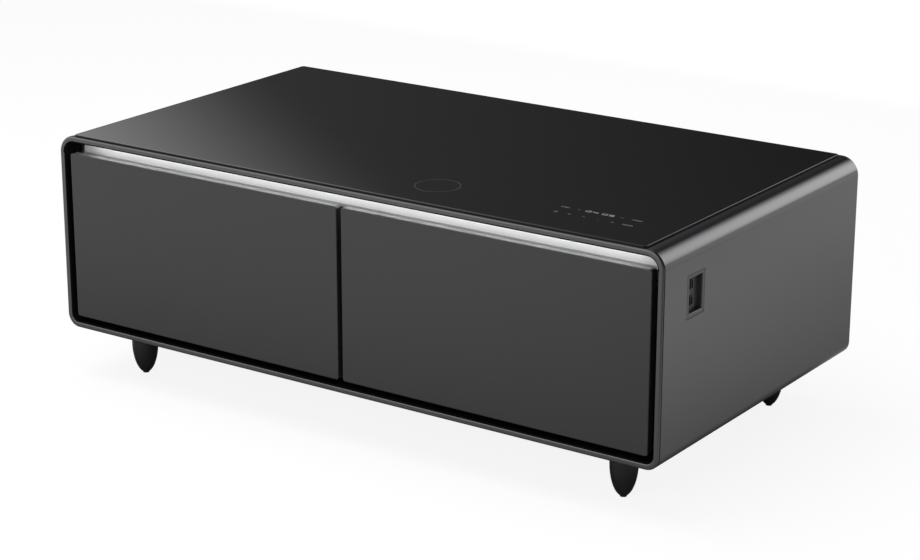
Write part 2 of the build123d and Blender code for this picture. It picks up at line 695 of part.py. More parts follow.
def led_diffuser():
    """Frosted lens that fills the channel and bulges below it."""
    half = BAY_HALF - LED_END_GAP
    top = Z_ROOF - SHELL_WALL - LED_CHANNEL_WALL
    low = Z_ROOF - SHELL_WALL - LED_CHANNEL_HEIGHT
    reach = LED_CHANNEL_WIDTH / 2 - LED_CHANNEL_WALL - SLIP
    y_mid = Y_FRONT + LED_CHANNEL_SETBACK + LED_CHANNEL_WIDTH / 2
    end = beam_plane(-half, y_mid, 0)
    sides = Polyline((reach, low), (reach, top), (-reach, top), (-reach, low))
    bulge = ThreePointArc((-reach, low), (0, low - LED_LENS_DROP), (reach, low))
    return prism(end, make_face(sides + bulge), 2 * half)


# Modules under the glass
def charger_outline(margin):
    """Round outline of the charger in X and Y, moved out by a margin."""
    return Pos(CHARGER_X, Y_FRONT + CHARGER_SETBACK) * Circle(CHARGER_RADIUS + margin)


def touch_outline(margin):
    """Outline of the touch panel in X and Y, moved out by a margin."""
    return Pos(TOUCH_X, Y_FRONT + TOUCH_SETBACK) * RectangleRounded(
        TOUCH_WIDTH + 2 * margin, TOUCH_LENGTH + 2 * margin, TOUCH_CORNER + margin
    )


def charger_housing():
    """Cup glued under the glass that holds the charging coil."""
    cup = column(charger_outline(0), Z_ROOF - CHARGER_DEPTH, Z_ROOF)
    return cup - column(charger_outline(-MODULE_WALL), Z_ROOF - CHARGER_DEPTH + MODULE_WALL, Z_ROOF + OVERRUN)


def charger_coil():
    """Flat coil on its ferrite plate and spacer."""
    place = Pos(CHARGER_X, Y_FRONT + CHARGER_SETBACK)
    z_plate = Z_ROOF - 2 * COIL_THICKNESS
    plate = column(charger_outline(-MODULE_WALL - FIT), Z_ROOF - CHARGER_DEPTH + MODULE_WALL, z_plate)
    coil = column(place * (Circle(COIL_OUTER) - Circle(COIL_INNER)), z_plate, Z_ROOF - FIT)
    return plate + coil


def touch_tray():
    """Tray glued under the glass round the touch board."""
    low = Z_ROOF - TOUCH_DEPTH
    tray = column(touch_outline(0), low, Z_ROOF)
    return tray - column(touch_outline(-MODULE_WALL), low + MODULE_WALL, Z_ROOF + OVERRUN)


def touch_board():
    """Circuit board with the display, touch electrodes and two ribs that press it to the glass."""
    z_face = Z_ROOF - DISPLAY_HEIGHT
    board = column(touch_outline(-MODULE_WALL - FIT), z_face - BOARD_THICKNESS, z_face)
    place = Pos(TOUCH_X, Y_FRONT + TOUCH_SETBACK)
    display = place * Pos(0, DISPLAY_LENGTH) * Rectangle(DISPLAY_WIDTH, DISPLAY_LENGTH)
    pads = [
        place * Pos(share * TOUCH_WIDTH, -DISPLAY_LENGTH) * Circle(DISPLAY_LENGTH / 2)
        for share in TOUCH_PAD_SHARES
    ]
    board += column(Sketch() + [display] + pads, z_face, Z_ROOF)
    post = Rectangle(DISPLAY_HEIGHT, TOUCH_LENGTH / 2)
    posts = [place * Pos(side * TOUCH_POST_SHARE * TOUCH_WIDTH, 0) * post for side in (-1, 1)]
    return board + column(Sketch() + posts, Z_ROOF - TOUCH_DEPTH + MODULE_WALL, z_face - BOARD_THICKNESS)


# Charging outlet
def outlet_plane(x):
    """Plane across X at the middle of the outlet."""
    return beam_plane(x, Y_FRONT + OUTLET_SETBACK, Z_ROOF - OUTLET_DROP)


def outlet_prism(margin, x_low, x_high):
    """Prism along X of the outlet's outline, moved out by a margin."""
    outline = RectangleRounded(OUTLET_LENGTH + 2 * margin, OUTLET_HEIGHT + 2 * margin, OUTLET_CORNER + margin)
    return prism(outlet_plane(x_low), outline, x_high - x_low)


def outlet_bezel():
    """Flush frame round the outlet's recess."""
    frame = outlet_prism(0, X_SIDE - BEZEL_WALL, X_SIDE)
    length = OUTLET_LENGTH - 2 * BEZEL_BORDER
    height = OUTLET_HEIGHT - 2 * BEZEL_BORDER
    opening = Rectangle(length, height)
    frame -= prism(outlet_plane(X_SIDE - BEZEL_WALL - OVERRUN), opening, BEZEL_WALL + 2 * OVERRUN)
    inner = frame.faces().sort_by(Axis.X)[-1].inner_wires()[0].edges()
    return chamfer(inner, BEZEL_BEVEL)


def outlet_module():
    """Housing behind the bezel: a recess with two charging ports, one above the other."""
    x_high = X_SIDE - BEZEL_WALL
    module = outlet_prism(0, X_SIDE - OUTLET_BODY_DEPTH, x_high)
    length = OUTLET_LENGTH - 2 * BEZEL_BORDER
    height = OUTLET_HEIGHT - 2 * BEZEL_BORDER
    x_floor = x_high - OUTLET_RECESS
    module -= prism(outlet_plane(x_floor), Rectangle(length, height), OUTLET_RECESS + OVERRUN)
    for side in (-1, 1):
        place = Pos(0, side * PORT_PITCH / 2)
        collar = place * Rectangle(PORT_WIDTH + 2 * PORT_COLLAR, PORT_HEIGHT + 2 * PORT_COLLAR)
        module += prism(outlet_plane(x_floor), collar, PORT_COLLAR_RISE)
        x_port = x_floor + PORT_COLLAR_RISE - PORT_DEPTH
        port = place * Rectangle(PORT_WIDTH, PORT_HEIGHT)
        module -= prism(outlet_plane(x_port), port, PORT_DEPTH + OVERRUN)
        beside = Pos(TONGUE_THICKNESS - PORT_WIDTH / 2, 0)
        tongue = beside * place * Rectangle(TONGUE_THICKNESS, TONGUE_HEIGHT)
        module += prism(outlet_plane(x_port), tongue, TONGUE_LENGTH)
    return module


# Drawers
def front_outline(x_mid, inset):
    """Outline of a drawer front in X and Z, moved in by an inset."""
    radius = max(FRONT_CORNER - inset, FRONT_WALL)
    outline = RectangleRounded(FRONT_WIDTH - 2 * inset, FRONT_HEIGHT - 2 * inset, radius)
    return Pos(x_mid, Z_FRONT_MID) * outline


def drawer_front(x_mid):
    """Folded steel front with returns at the sides and the bottom."""
    pan = slab(front_outline(x_mid, 0), Y_FACE, Y_RETURN_BACK)
    pan -= slab(front_outline(x_mid, FRONT_WALL), Y_FACE + FRONT_WALL, Y_RETURN_BACK + OVERRUN)
    half = FRONT_WIDTH / 2 - FRONT_CORNER
    z_low = Z_FRONT_TOP - FRONT_WALL
    y_low = Y_FACE + FRONT_WALL
    y_high = Y_RETURN_BACK + OVERRUN
    return pan - span_box(x_mid - half, x_mid + half, y_low, y_high, z_low, Z_FRONT_TOP + OVERRUN)


def drawer_grip(x_mid):
    """Aluminium finger profile that closes the top of the front and lines the pocket's front wall."""
    half = FRONT_WIDTH / 2 - FRONT_CORNER
    y_low = Y_FACE + FRONT_WALL
    y_back = Y_RETURN_BACK
    lip_low = Z_CORE_TOP
    cap = [
        (y_low, Z_FRONT_TOP),
        (y_back, Z_FRONT_TOP),
        (y_back, lip_low),
        (y_back - GRIP_LIP, lip_low),
        (y_back - GRIP_LIP, lip_low + GRIP_WALL),
        (y_back - GRIP_WALL, lip_low + GRIP_WALL),
        (y_back - GRIP_WALL, Z_FRONT_TOP - GRIP_WALL),
        (y_low, Z_FRONT_TOP - GRIP_WALL),
    ]
    grip = prism(beam_plane(x_mid - half, 0, 0), Polygon(*cap, align=None), 2 * half)
    edge = grip.edges().filter_by(Axis.X).sort_by(Axis.Y)[-2:].sort_by(Axis.Z)[-1]
    return fillet(edge, GRIP_WALL)


def core_outline(x_mid, inset):
    """Outline of a drawer's insulated core in X and Z, below the finger pocket."""
    width = FRONT_WIDTH - 2 * CORE_INSET - 2 * inset
    z_low = Z_FRONT_BOTTOM + CORE_INSET + inset
    tall = Z_CORE_TOP - inset - z_low
    return Pos(x_mid, z_low + tall / 2) * RectangleRounded(width, tall, CORE_CORNER)


def gasket_ring(x_mid, width):
    """Ring round the compartment's mouth in X and Z, of a given width about the gasket's middle line."""
    margin = GASKET_OFFSET + GASKET_WIDTH / 2
    outer = margin + width / 2
    inner = margin - width / 2
    rings = []
    for reach in (outer, inner):
        ring = RectangleRounded(CELL_WIDTH + 2 * reach, CELL_HEIGHT + 2 * reach, GASKET_CORNER + reach)
        rings.append(Pos(x_mid, Z_CELL_MID) * ring)
    return rings[0] - rings[1]


def drawer_core(x_mid):
    """Insulated panel behind the front, with a groove for the gasket and holes for the bin's screws."""
    core = slab(core_outline(x_mid, 0), Y_RETURN_BACK, Y_CORE_BACK)
    core = fillet(core.faces().sort_by(Axis.Y)[-1].outer_wire().edges(), CORE_EDGE_ROUND)
    below_pocket = Pos(x_mid, Z_CORE_TOP - FIT - FRONT_HEIGHT / 2) * Rectangle(FRONT_WIDTH, FRONT_HEIGHT)
    plug = front_outline(x_mid, FRONT_WALL + FIT) & below_pocket
    core += slab(plug, Y_FACE + FRONT_WALL, Y_RETURN_BACK)
    y_out = Y_CORE_BACK + OVERRUN
    core -= slab(gasket_ring(x_mid, GASKET_FOOT_WIDTH), Y_CORE_BACK - GASKET_FOOT_DEPTH, y_out)
    for x, z in bin_screw_points(x_mid):
        core -= rod((x, y_out, z), (0, -1, 0), SCREW_RADIUS + SLIP, OVERRUN + BIN_SCREW_LENGTH)
    return core


def drawer_gasket(x_mid):
    """Magnetic seal: a foot in the core's groove and a soft bulb that meets the sealing face."""
    foot_ring = gasket_ring(x_mid, GASKET_FOOT_WIDTH - 2 * FIT)
    gasket = slab(foot_ring, Y_CORE_BACK - GASKET_FOOT_DEPTH, Y_CORE_BACK)
    return gasket + slab(gasket_ring(x_mid, GASKET_WIDTH), Y_CORE_BACK, Y_FLANGE - FIT)


def bin_screw_points(x_mid):
    """Places of the screws that hold the bin to the core, in X and Z."""
    reach = BIN_WIDTH / 2 - BIN_SCREW_EDGE
    low = Z_BIN_BOTTOM + BIN_SCREW_EDGE
    high = Z_BIN_TOP - BIN_SCREW_EDGE
    return [(x_mid + side * reach, z) for side in (-1, 1) for z in (low, high)]


def bin_outline(x_mid, inset):
    """Outline of a bin in X and Y, moved in by an inset."""
    return Pos(x_mid, Y_BIN_MID) * RectangleRounded(
        BIN_WIDTH - 2 * inset, BIN_LENGTH - 2 * inset, BIN_CORNER - inset
    )


def drawer_bin(x_mid):
    """Moulded bin with a rolled rim, a ribbed floor and air slots in its back wall."""
    floor = Z_BIN_BOTTOM + BIN_RIB_HEIGHT
    walls = column(bin_outline(x_mid, 0), floor, Z_BIN_TOP)
    hollow = column(bin_outline(x_mid, BIN_WALL), floor + BIN_FLOOR, Z_BIN_TOP + OVERRUN)
    behind_core = Pos(x_mid, Y_CORE_BACK + BIN_LENGTH) * Rectangle(2 * BIN_WIDTH, 2 * BIN_LENGTH)
    rim = bin_outline(x_mid, -BIN_RIM) & behind_core
    walls += column(rim, Z_BIN_TOP - BIN_RIM_WALL, Z_BIN_TOP)
    skirt = rim - bin_outline(x_mid, -BIN_RIM + BIN_WALL)
    walls += column(skirt, Z_BIN_TOP - BIN_RIM_SKIRT, Z_BIN_TOP)
    tray = walls - hollow
    tray += column(bin_ribs(x_mid), Z_BIN_BOTTOM, floor)
    slots = int((BIN_WIDTH - 2 * BIN_SLOT_MARGIN) // BIN_SLOT_PITCH) + 1
    z_mid = Z_BIN_TOP - BIN_SLOT_DROP - BIN_SLOT_HEIGHT / 2
    shape = SlotOverall(BIN_SLOT_HEIGHT, BIN_SLOT_WIDTH, rotation=90)
    places = [Pos(x_mid + (i - (slots - 1) / 2) * BIN_SLOT_PITCH, z_mid) * shape for i in range(slots)]
    tray -= slab(Sketch() + places, Y_BIN_BACK - BIN_WALL - OVERRUN, Y_BIN_BACK + OVERRUN)
    y_out = Y_CORE_BACK - OVERRUN
    for x, z in bin_screw_points(x_mid):
        tray -= rod((x, y_out, z), (0, 1, 0), SCREW_RADIUS + SCREW_HOLE_GAP, BIN_WALL + 2 * OVERRUN)
    return tray


def bin_ribs(x_mid):
    """Stiffening ribs under a bin's floor, in X and Y."""
    width = BIN_WIDTH - 2 * BIN_RIB_MARGIN
    length = BIN_LENGTH - 2 * BIN_RIB_MARGIN
    along = int(width // BIN_RIB_PITCH)
    across = int(length // BIN_RIB_PITCH)
    lengthwise = Rectangle(BIN_RIB_WALL, length)
    crosswise = Rectangle(width, BIN_RIB_WALL)
    ribs = [Pos((i / along - 1 / 2) * width, 0) * lengthwise for i in range(along + 1)]
    ribs += [Pos(0, (i / across - 1 / 2) * length) * crosswise for i in range(across + 1)]
    return Pos(x_mid, Y_BIN_MID) * (Sketch() + ribs)


def drawer_screws(x_mid):
    """Screws from inside the bin into the core."""
    y = Y_CORE_BACK + BIN_WALL
    return [screw(Vector(x, y, z), (0, -1, 0), BIN_SCREW_LENGTH) for x, z in bin_screw_points(x_mid)]


# Ball slides
def races(x, height):
    """Two round grooves for a slide's balls, above and below its middle."""
    return [Pos(x, side * height) * Circle(RACE_RADIUS) for side in (-1, 1)]


def channel(x_low, x_high, half, web_side, flange):
    """Channel section between two X places, with its web on one side."""
    section = Pos((x_low + x_high) / 2, 0) * Rectangle(x_high - x_low, 2 * half)
    hollow_low = x_low + RAIL_SHEET if web_side < 0 else x_low - OVERRUN
    hollow_high = x_high + OVERRUN if web_side < 0 else x_high - RAIL_SHEET
    hollow = Pos((hollow_low + hollow_high) / 2, 0) * Rectangle(hollow_high - hollow_low, 2 * (half - flange))
    return section - hollow


OUTER_HALF = RAIL_HEIGHT / 2
OUTER_INSIDE = OUTER_HALF - OUTER_FLANGE
MIDDLE_HALF = OUTER_INSIDE - RAIL_GAP
MIDDLE_INSIDE = MIDDLE_HALF - MIDDLE_FLANGE
INNER_HALF = MIDDLE_INSIDE - RAIL_GAP
OUTER_RACE_Z = OUTER_INSIDE - RAIL_GAP / 2
INNER_RACE_Z = MIDDLE_INSIDE - RAIL_GAP / 2


def outer_section():
    """Section of the member fixed to the compartment."""
    section = channel(0, RAIL_STACK - RAIL_EDGE_GAP, OUTER_HALF, -1, OUTER_FLANGE)
    return section - races(OUTER_RACE_X, OUTER_RACE_Z)


def middle_section():
    """Section of the travelling middle member, with races on both faces of its flanges."""
    x_low = RAIL_SHEET + RAIL_GAP
    section = channel(x_low, RAIL_STACK - RAIL_GAP, MIDDLE_HALF, -1, MIDDLE_FLANGE)
    return section - races(OUTER_RACE_X, OUTER_RACE_Z) - races(INNER_RACE_X, INNER_RACE_Z)


def inner_section():
    """Section of the member fixed to the drawer."""
    x_low = 2 * (RAIL_SHEET + RAIL_GAP)
    section = channel(x_low, RAIL_STACK, INNER_HALF, 1, INNER_FLANGE)
    return section - races(INNER_RACE_X, INNER_RACE_Z)


def rail_pair(section, x_mid):
    """One member of each of the two slides of a compartment."""
    reach = CELL_WIDTH / 2
    left = Pos(x_mid - reach, Z_RAIL) * section
    right = Pos(x_mid + reach, Z_RAIL) * mirror(section, about=Plane.YZ)
    return [slab(left, Y_RAIL_FRONT, Y_RAIL_BACK), slab(right, Y_RAIL_FRONT, Y_RAIL_BACK)]


def slide_outer_rails():
    """The four members fixed to the compartments."""
    return [rail for side in SIDES.values() for rail in rail_pair(outer_section(), side * DRAWER_X)]


# Refrigerating unit
def mount_points():
    """Places of the compressor's four mounts, in X and Y."""
    reach_x = MOUNT_PLATE_LENGTH / 2 - MOUNT_EDGE
    reach_y = MOUNT_PLATE_DEPTH / 2 - MOUNT_EDGE
    return [(COMPRESSOR_X + x * reach_x, Y_UNIT + y * reach_y) for x, y in CORNERS.values()]


def compressor():
    """Welded can on its mounting plate, with the terminal cover and two tube stubs."""
    place = Pos(COMPRESSOR_X, Y_UNIT)
    top = Z_COMPRESSOR + COMPRESSOR_HEIGHT
    can = column(place * SlotOverall(COMPRESSOR_LENGTH, COMPRESSOR_DEPTH), Z_COMPRESSOR, top)
    ends = can.faces().sort_by(Axis.Z)[-1].edges() + can.faces().sort_by(Axis.Z)[0].edges()
    can = fillet(ends, COMPRESSOR_ROUND)
    seam = SlotOverall(COMPRESSOR_LENGTH + 2 * SEAM_WIDTH, COMPRESSOR_DEPTH + 2 * SEAM_WIDTH)
    can += column(place * seam, Z_COMPRESSOR + SEAM_LIFT, Z_COMPRESSOR + SEAM_LIFT + SEAM_HEIGHT)
    plate = place * RectangleRounded(MOUNT_PLATE_LENGTH, MOUNT_PLATE_DEPTH, MOUNT_EDGE)
    plate -= [Pos(x, y) * Circle(MOUNT_NECK + SLIP) for x, y in mount_points()]
    can += column(plate, Z_MOUNT_PLATE, Z_COMPRESSOR)
    cradle = SlotOverall(COMPRESSOR_LENGTH - COMPRESSOR_ROUND, COMPRESSOR_DEPTH - COMPRESSOR_ROUND)
    can += column(place * cradle, Z_COMPRESSOR, Z_COMPRESSOR + MOUNT_PLATE_WALL)
    x_cover = COMPRESSOR_X + COMPRESSOR_LENGTH / 2
    z_cover = Z_COMPRESSOR + SEAM_LIFT
    cover = span_box(
        x_cover - TERMINAL_LENGTH,
        x_cover + TERMINAL_LENGTH,
        Y_UNIT - TERMINAL_WIDTH / 2,
        Y_UNIT + TERMINAL_WIDTH / 2,
        z_cover - TERMINAL_HEIGHT / 2,
        z_cover + TERMINAL_HEIGHT / 2,
    )
    can += fillet(cover.edges().group_by(Axis.X)[-1], TERMINAL_ROUND)
    for x in compressor_stubs():
        can += rod((x, Y_UNIT, top - OVERRUN), (0, 0, 1), TUBE_RADIUS, STUB_LENGTH + OVERRUN)
    return can


def compressor_stubs():
    """Places of the discharge and suction stubs, in X."""
    reach = (COMPRESSOR_LENGTH - COMPRESSOR_DEPTH) / 2
    return [COMPRESSOR_X - reach, COMPRESSOR_X + reach]


def compressor_mounts():
    """Rubber mounts buttoned through the compressor's plate."""
    lower = column(Circle(MOUNT_RADIUS), Z_CHASSIS, Z_MOUNT_PLATE)
    neck = column(Circle(MOUNT_NECK), Z_MOUNT_PLATE, Z_COMPRESSOR)
    cap = column(Circle(MOUNT_RADIUS - MOUNT_CAP), Z_COMPRESSOR, Z_COMPRESSOR + MOUNT_CAP)
    return [Pos(x, y) * (lower + neck + cap) for x, y in mount_points()]


def condenser_levels():
    """Heights of the condenser's flat tubes."""
    rise = CONDENSER_HEIGHT - 4 * HEADER_RADIUS
    step = rise / (CONDENSER_TUBE_COUNT - 1)
    return [Z_CONDENSER + 2 * HEADER_RADIUS + i * step for i in range(CONDENSER_TUBE_COUNT)]


def condenser_tubes():
    """Flat tubes between two upright headers."""
    coil = Part()
    for side in (-1, 1):
        y = Y_UNIT + side * CONDENSER_SPAN / 2
        coil += rod((CONDENSER_X, y, Z_CONDENSER), (0, 0, 1), HEADER_RADIUS, CONDENSER_HEIGHT)
    half = CONDENSER_SPAN / 2
    reach = CONDENSER_TUBE_WIDTH / 2
    for z in condenser_levels():
        low, high = z - CONDENSER_TUBE_WALL / 2, z + CONDENSER_TUBE_WALL / 2
        coil += span_box(CONDENSER_X - reach, CONDENSER_X + reach, Y_UNIT - half, Y_UNIT + half, low, high)
    return coil


def condenser_fins():
    """Folded fin ribbons between the flat tubes."""
    levels = condenser_levels()
    clear = CONDENSER_SPAN / 2 - HEADER_RADIUS - FIN_WALL
    folds = int(2 * clear // FIN_FOLD_PITCH)
    step = 2 * clear / folds
    fins = []
    for low_tube, high_tube in zip(levels, levels[1:]):
        low = low_tube + CONDENSER_TUBE_WALL / 2
        high = high_tube - CONDENSER_TUBE_WALL / 2
        upper = [(-clear + i * step, high if i % 2 else low + FIN_WALL) for i in range(folds + 1)]
        lower = [(-clear + i * step, high - FIN_WALL if i % 2 else low) for i in range(folds + 1)]
        end = beam_plane(CONDENSER_X - CONDENSER_TUBE_WIDTH / 2, Y_UNIT, 0)
        fins.append(prism(end, Polygon(*upper, *reversed(lower), align=None), CONDENSER_TUBE_WIDTH))
    return fins


def fan_shroud():
    """Plate with a rim that seats on the condenser and carries the fan."""
    half_y = CONDENSER_SPAN / 2 + HEADER_RADIUS + SHROUD_MARGIN
    top = Z_CONDENSER + CONDENSER_HEIGHT + SHROUD_MARGIN
    x_rim = X_SHROUD - SHROUD_RIM
    wall = SHROUD_WALL
    low, high = Y_UNIT - half_y, Y_UNIT + half_y
    outer = span_box(x_rim, X_FAN, low, high, Z_CHASSIS, top)
    outer -= span_box(x_rim - OVERRUN, X_SHROUD, low + wall, high - wall, Z_CHASSIS + wall, top - wall)
    outer -= rod((X_SHROUD - OVERRUN, Y_UNIT, Z_FAN), (1, 0, 0), FAN_DUCT_RADIUS, wall + 2 * OVERRUN)
    return outer + span_box(X_FAN, X_FAN + SHROUD_FOOT, low, high, Z_CHASSIS, Z_CHASSIS + wall)


def fan_frame():
    """Square fan frame with its duct, struts, motor mount and bearing pin."""
    end = beam_plane(X_FAN, Y_UNIT, Z_FAN)
    duct = RectangleRounded(FAN_SIZE, FAN_SIZE, FAN_CORNER) - Circle(FAN_DUCT_RADIUS)
    frame = prism(end, duct, FAN_THICKNESS)
    strut = Rectangle(2 * FAN_DUCT_RADIUS + FAN_STRUT_WIDTH / 2, FAN_STRUT_WIDTH)
    spider = Circle(FAN_HUB_RADIUS) + [Rot(0, 0, angle) * strut for angle in FAN_STRUT_ANGLES]
    frame += prism(end.offset(FAN_THICKNESS - FAN_MOUNT_WALL), spider, FAN_MOUNT_WALL)
    pin = FAN_THICKNESS - FAN_MOUNT_WALL - FAN_END_GAP
    return frame + rod((X_FAN + FAN_END_GAP, Y_UNIT, Z_FAN), (1, 0, 0), FAN_PIN_RADIUS, pin)


def fan_rotor():
    """Hub with twisted blades, turning on the frame's pin."""
    hub = column(Circle(FAN_HUB_RADIUS), 0, FAN_HUB_LENGTH)
    hub = fillet(hub.faces().sort_by(Axis.Z)[0].edges(), FAN_END_GAP)
    root = FAN_HUB_RADIUS - FAN_BLADE_WALL
    sections = []
    for radius, chord, pitch in (
        (root, FAN_ROOT_CHORD, FAN_ROOT_PITCH),
        (FAN_BLADE_TIP, FAN_TIP_CHORD, FAN_TIP_PITCH),
    ):
        turn = math.radians(pitch)
        chord_line = (0, math.cos(turn), math.sin(turn))
        plane = Plane(origin=(radius, 0, FAN_HUB_LENGTH / 2), x_dir=chord_line, z_dir=(1, 0, 0))
        sections.append(plane * Rectangle(chord, FAN_BLADE_WALL))
    blade = loft(sections) & column(Circle(FAN_BLADE_TIP), 0, FAN_HUB_LENGTH)
    for i in range(FAN_BLADE_COUNT):
        hub += Rot(0, 0, i * 360 / FAN_BLADE_COUNT) * blade
    hub -= column(Circle(FAN_PIN_RADIUS + SLIP), -OVERRUN, FAN_HUB_LENGTH + OVERRUN)
    return Pos(X_FAN + 2 * FAN_END_GAP, Y_UNIT, Z_FAN) * Rot(0, 90, 0) * hub


def evaporator(x_mid):
    """Roll-bonded plate with a raised serpentine channel and two tubes through the back wall."""
    plate = Pos(x_mid, Z_CELL_MID) * Rectangle(EVAPORATOR_WIDTH, EVAPORATOR_HEIGHT)
    y_face = Y_CELL_BACK - EVAPORATOR_WALL
    body = slab(plate, y_face, Y_CELL_BACK)
    half = TUBE_SPREAD
    span = EVAPORATOR_HEIGHT - 2 * CHANNEL_MARGIN
    step = span / (CHANNEL_RUNS - 1)
    points = []
    for i in range(CHANNEL_RUNS):
        z = span / 2 - i * step
        ends = [(-half, z), (half, z)]
        points += ends if i % 2 == 0 else reversed(ends)
    route = FilletPolyline(*points, radius=step / 2 - CHANNEL_WIDTH / 4)
    ridge = Pos(x_mid, Z_CELL_MID) * trace(route, line_width=CHANNEL_WIDTH)
    body += slab(ridge, y_face - CHANNEL_RISE, y_face)
    for spread in (-half, half):
        start = (x_mid + spread, y_face, Z_TUBE)
        body += rod(start, (0, 1, 0), TUBE_RADIUS, Y_TUBE_END - y_face)
    return body


def refrigerant_pipes():
    """Copper tubes of the circuit inside the machine bay."""
    first, second, third, last = tube_points()
    y_run = Y_TUBE_END + PIPE_OFFSET
    top_condenser = Z_CONDENSER + CONDENSER_HEIGHT
    z_run = top_condenser + PIPE_RISE
    y_header = Y_UNIT - CONDENSER_SPAN / 2
    y_outlet = Y_UNIT + CONDENSER_SPAN / 2
    x_discharge, x_suction = compressor_stubs()
    z_stub = Z_COMPRESSOR + COMPRESSOR_HEIGHT + STUB_LENGTH
    x_drier = CONDENSER_X - DRIER_OFFSET
    z_drier = top_condenser - DRIER_NECK
    discharge = [
        (x_discharge, Y_UNIT, z_stub),
        (x_discharge, Y_UNIT, z_run),
        (CONDENSER_X, Y_UNIT, z_run),
        (CONDENSER_X, y_header, z_run),
        (CONDENSER_X, y_header, top_condenser),
    ]
    liquid = [
        (CONDENSER_X, y_outlet, top_condenser),
        (CONDENSER_X, y_outlet, z_run),
        (x_drier, y_outlet, z_run),
        (x_drier, y_outlet, z_drier),
    ]
    feed = [
        (x_drier, y_outlet, z_drier - DRIER_LENGTH),
        (x_drier, y_outlet, z_drier - DRIER_LENGTH - PIPE_RISE),
        (x_drier, y_run, z_drier - DRIER_LENGTH - PIPE_RISE),
        (first, y_run, z_drier - DRIER_LENGTH - PIPE_RISE),
        (first, y_run, Z_TUBE),
        (first, Y_TUBE_END, Z_TUBE),
    ]
    cross = [
        (second, Y_TUBE_END, Z_TUBE),
        (second, y_run, Z_TUBE),
        (third, y_run, Z_TUBE),
        (third, Y_TUBE_END, Z_TUBE),
    ]
    suction = [
        (last, Y_TUBE_END, Z_TUBE),
        (last, y_run, Z_TUBE),
        (x_suction, y_run, Z_TUBE),
        (x_suction, y_run, Z_TUBE + PIPE_RISE),
        (x_suction, Y_UNIT, Z_TUBE + PIPE_RISE),
        (x_suction, Y_UNIT, z_stub),
    ]
    return [pipe(points, TUBE_RADIUS - SLIP) for points in (discharge, liquid, feed, cross, suction)]


def filter_drier():
    """Spun copper drier with necked ends between the condenser and the first evaporator."""
    top = Z_CONDENSER + CONDENSER_HEIGHT - DRIER_NECK
    low = top - DRIER_LENGTH
    outline = Polyline(
        (0, low),
        (TUBE_RADIUS, low),
        (DRIER_RADIUS, low + DRIER_NECK),
        (DRIER_RADIUS, top - DRIER_NECK),
        (TUBE_RADIUS, top),
        (0, top),
        close=True,
    )
    turned = revolve(Plane.XZ * make_face(outline), axis=Axis.Z)
    return Pos(CONDENSER_X - DRIER_OFFSET, Y_UNIT + CONDENSER_SPAN / 2) * turned


def drain_pan():
    """Shallow tray that collects defrost water on the chassis plate."""
    top = Z_CHASSIS + PAN_HEIGHT
    width = X_PAN_RIGHT - X_PAN_LEFT
    outer = RectangleRounded(width, PAN_DEPTH, PAN_CORNER)
    inner = RectangleRounded(width - 2 * PAN_WALL, PAN_DEPTH - 2 * PAN_WALL, PAN_CORNER - PAN_WALL)
    pan = column(outer, Z_CHASSIS, top) - column(inner, Z_CHASSIS + PAN_WALL, top + OVERRUN)
    return Pos((X_PAN_LEFT + X_PAN_RIGHT) / 2, Y_UNIT) * pan


def control_board():
    """Power and control board on four stand-offs, with its larger components."""
    y_board = Y_BAY_FRONT + STANDOFF_HEIGHT
    y_face = y_board + BOARD_THICKNESS
    place = Pos(0, Z_ROOF - CONTROL_DROP)
    board = slab(place * Rectangle(CONTROL_WIDTH, CONTROL_HEIGHT), y_board, y_face)
    reach_x = CONTROL_WIDTH / 2 - STANDOFF_INSET
    reach_z = CONTROL_HEIGHT / 2 - STANDOFF_INSET
    posts = [place * Pos(x * reach_x, z * reach_z) * Circle(STANDOFF_RADIUS) for x, z in CORNERS.values()]
    board += slab(Sketch() + posts, Y_BAY_FRONT, y_board)
    for x_share, z_share, width_share, height_share in CONTROL_BLOCK_SHARES:
        size = Rectangle(width_share * CONTROL_WIDTH, height_share * CONTROL_HEIGHT)
        spot = place * Pos(x_share * CONTROL_WIDTH, z_share * CONTROL_HEIGHT)
        board += slab(spot * size, y_face, y_face + PART_HEIGHT)
    spots = [Pos(x * CONTROL_WIDTH, z * CONTROL_HEIGHT) for x, z in CONTROL_CAN_SHARES]
    cans = [place * spot * Circle(CONTROL_CAN_RADIUS) for spot in spots]
    return board + slab(Sketch() + cans, y_face, y_face + PART_HEIGHT)


# Power inlet
def inlet_shape(width, height):
    """Inlet outline about its middle, with its two upper corners cut."""
    half, tall = width / 2, height / 2
    cut = INLET_CHAMFER
    right = [(half, -tall), (half, tall - cut), (half - cut, tall)]
    left = [(-x, z) for x, z in reversed(right)]
    return Polygon(*right, *left, align=None)


def inlet_outline(margin):
    """Outline of the inlet's body in the back panel, moved out by a margin."""
    outline = inlet_shape(INLET_BODY_WIDTH + 2 * margin, INLET_BODY_HEIGHT + 2 * margin)
    return Pos(INLET_X, Z_UNDER + INLET_LIFT) * outline


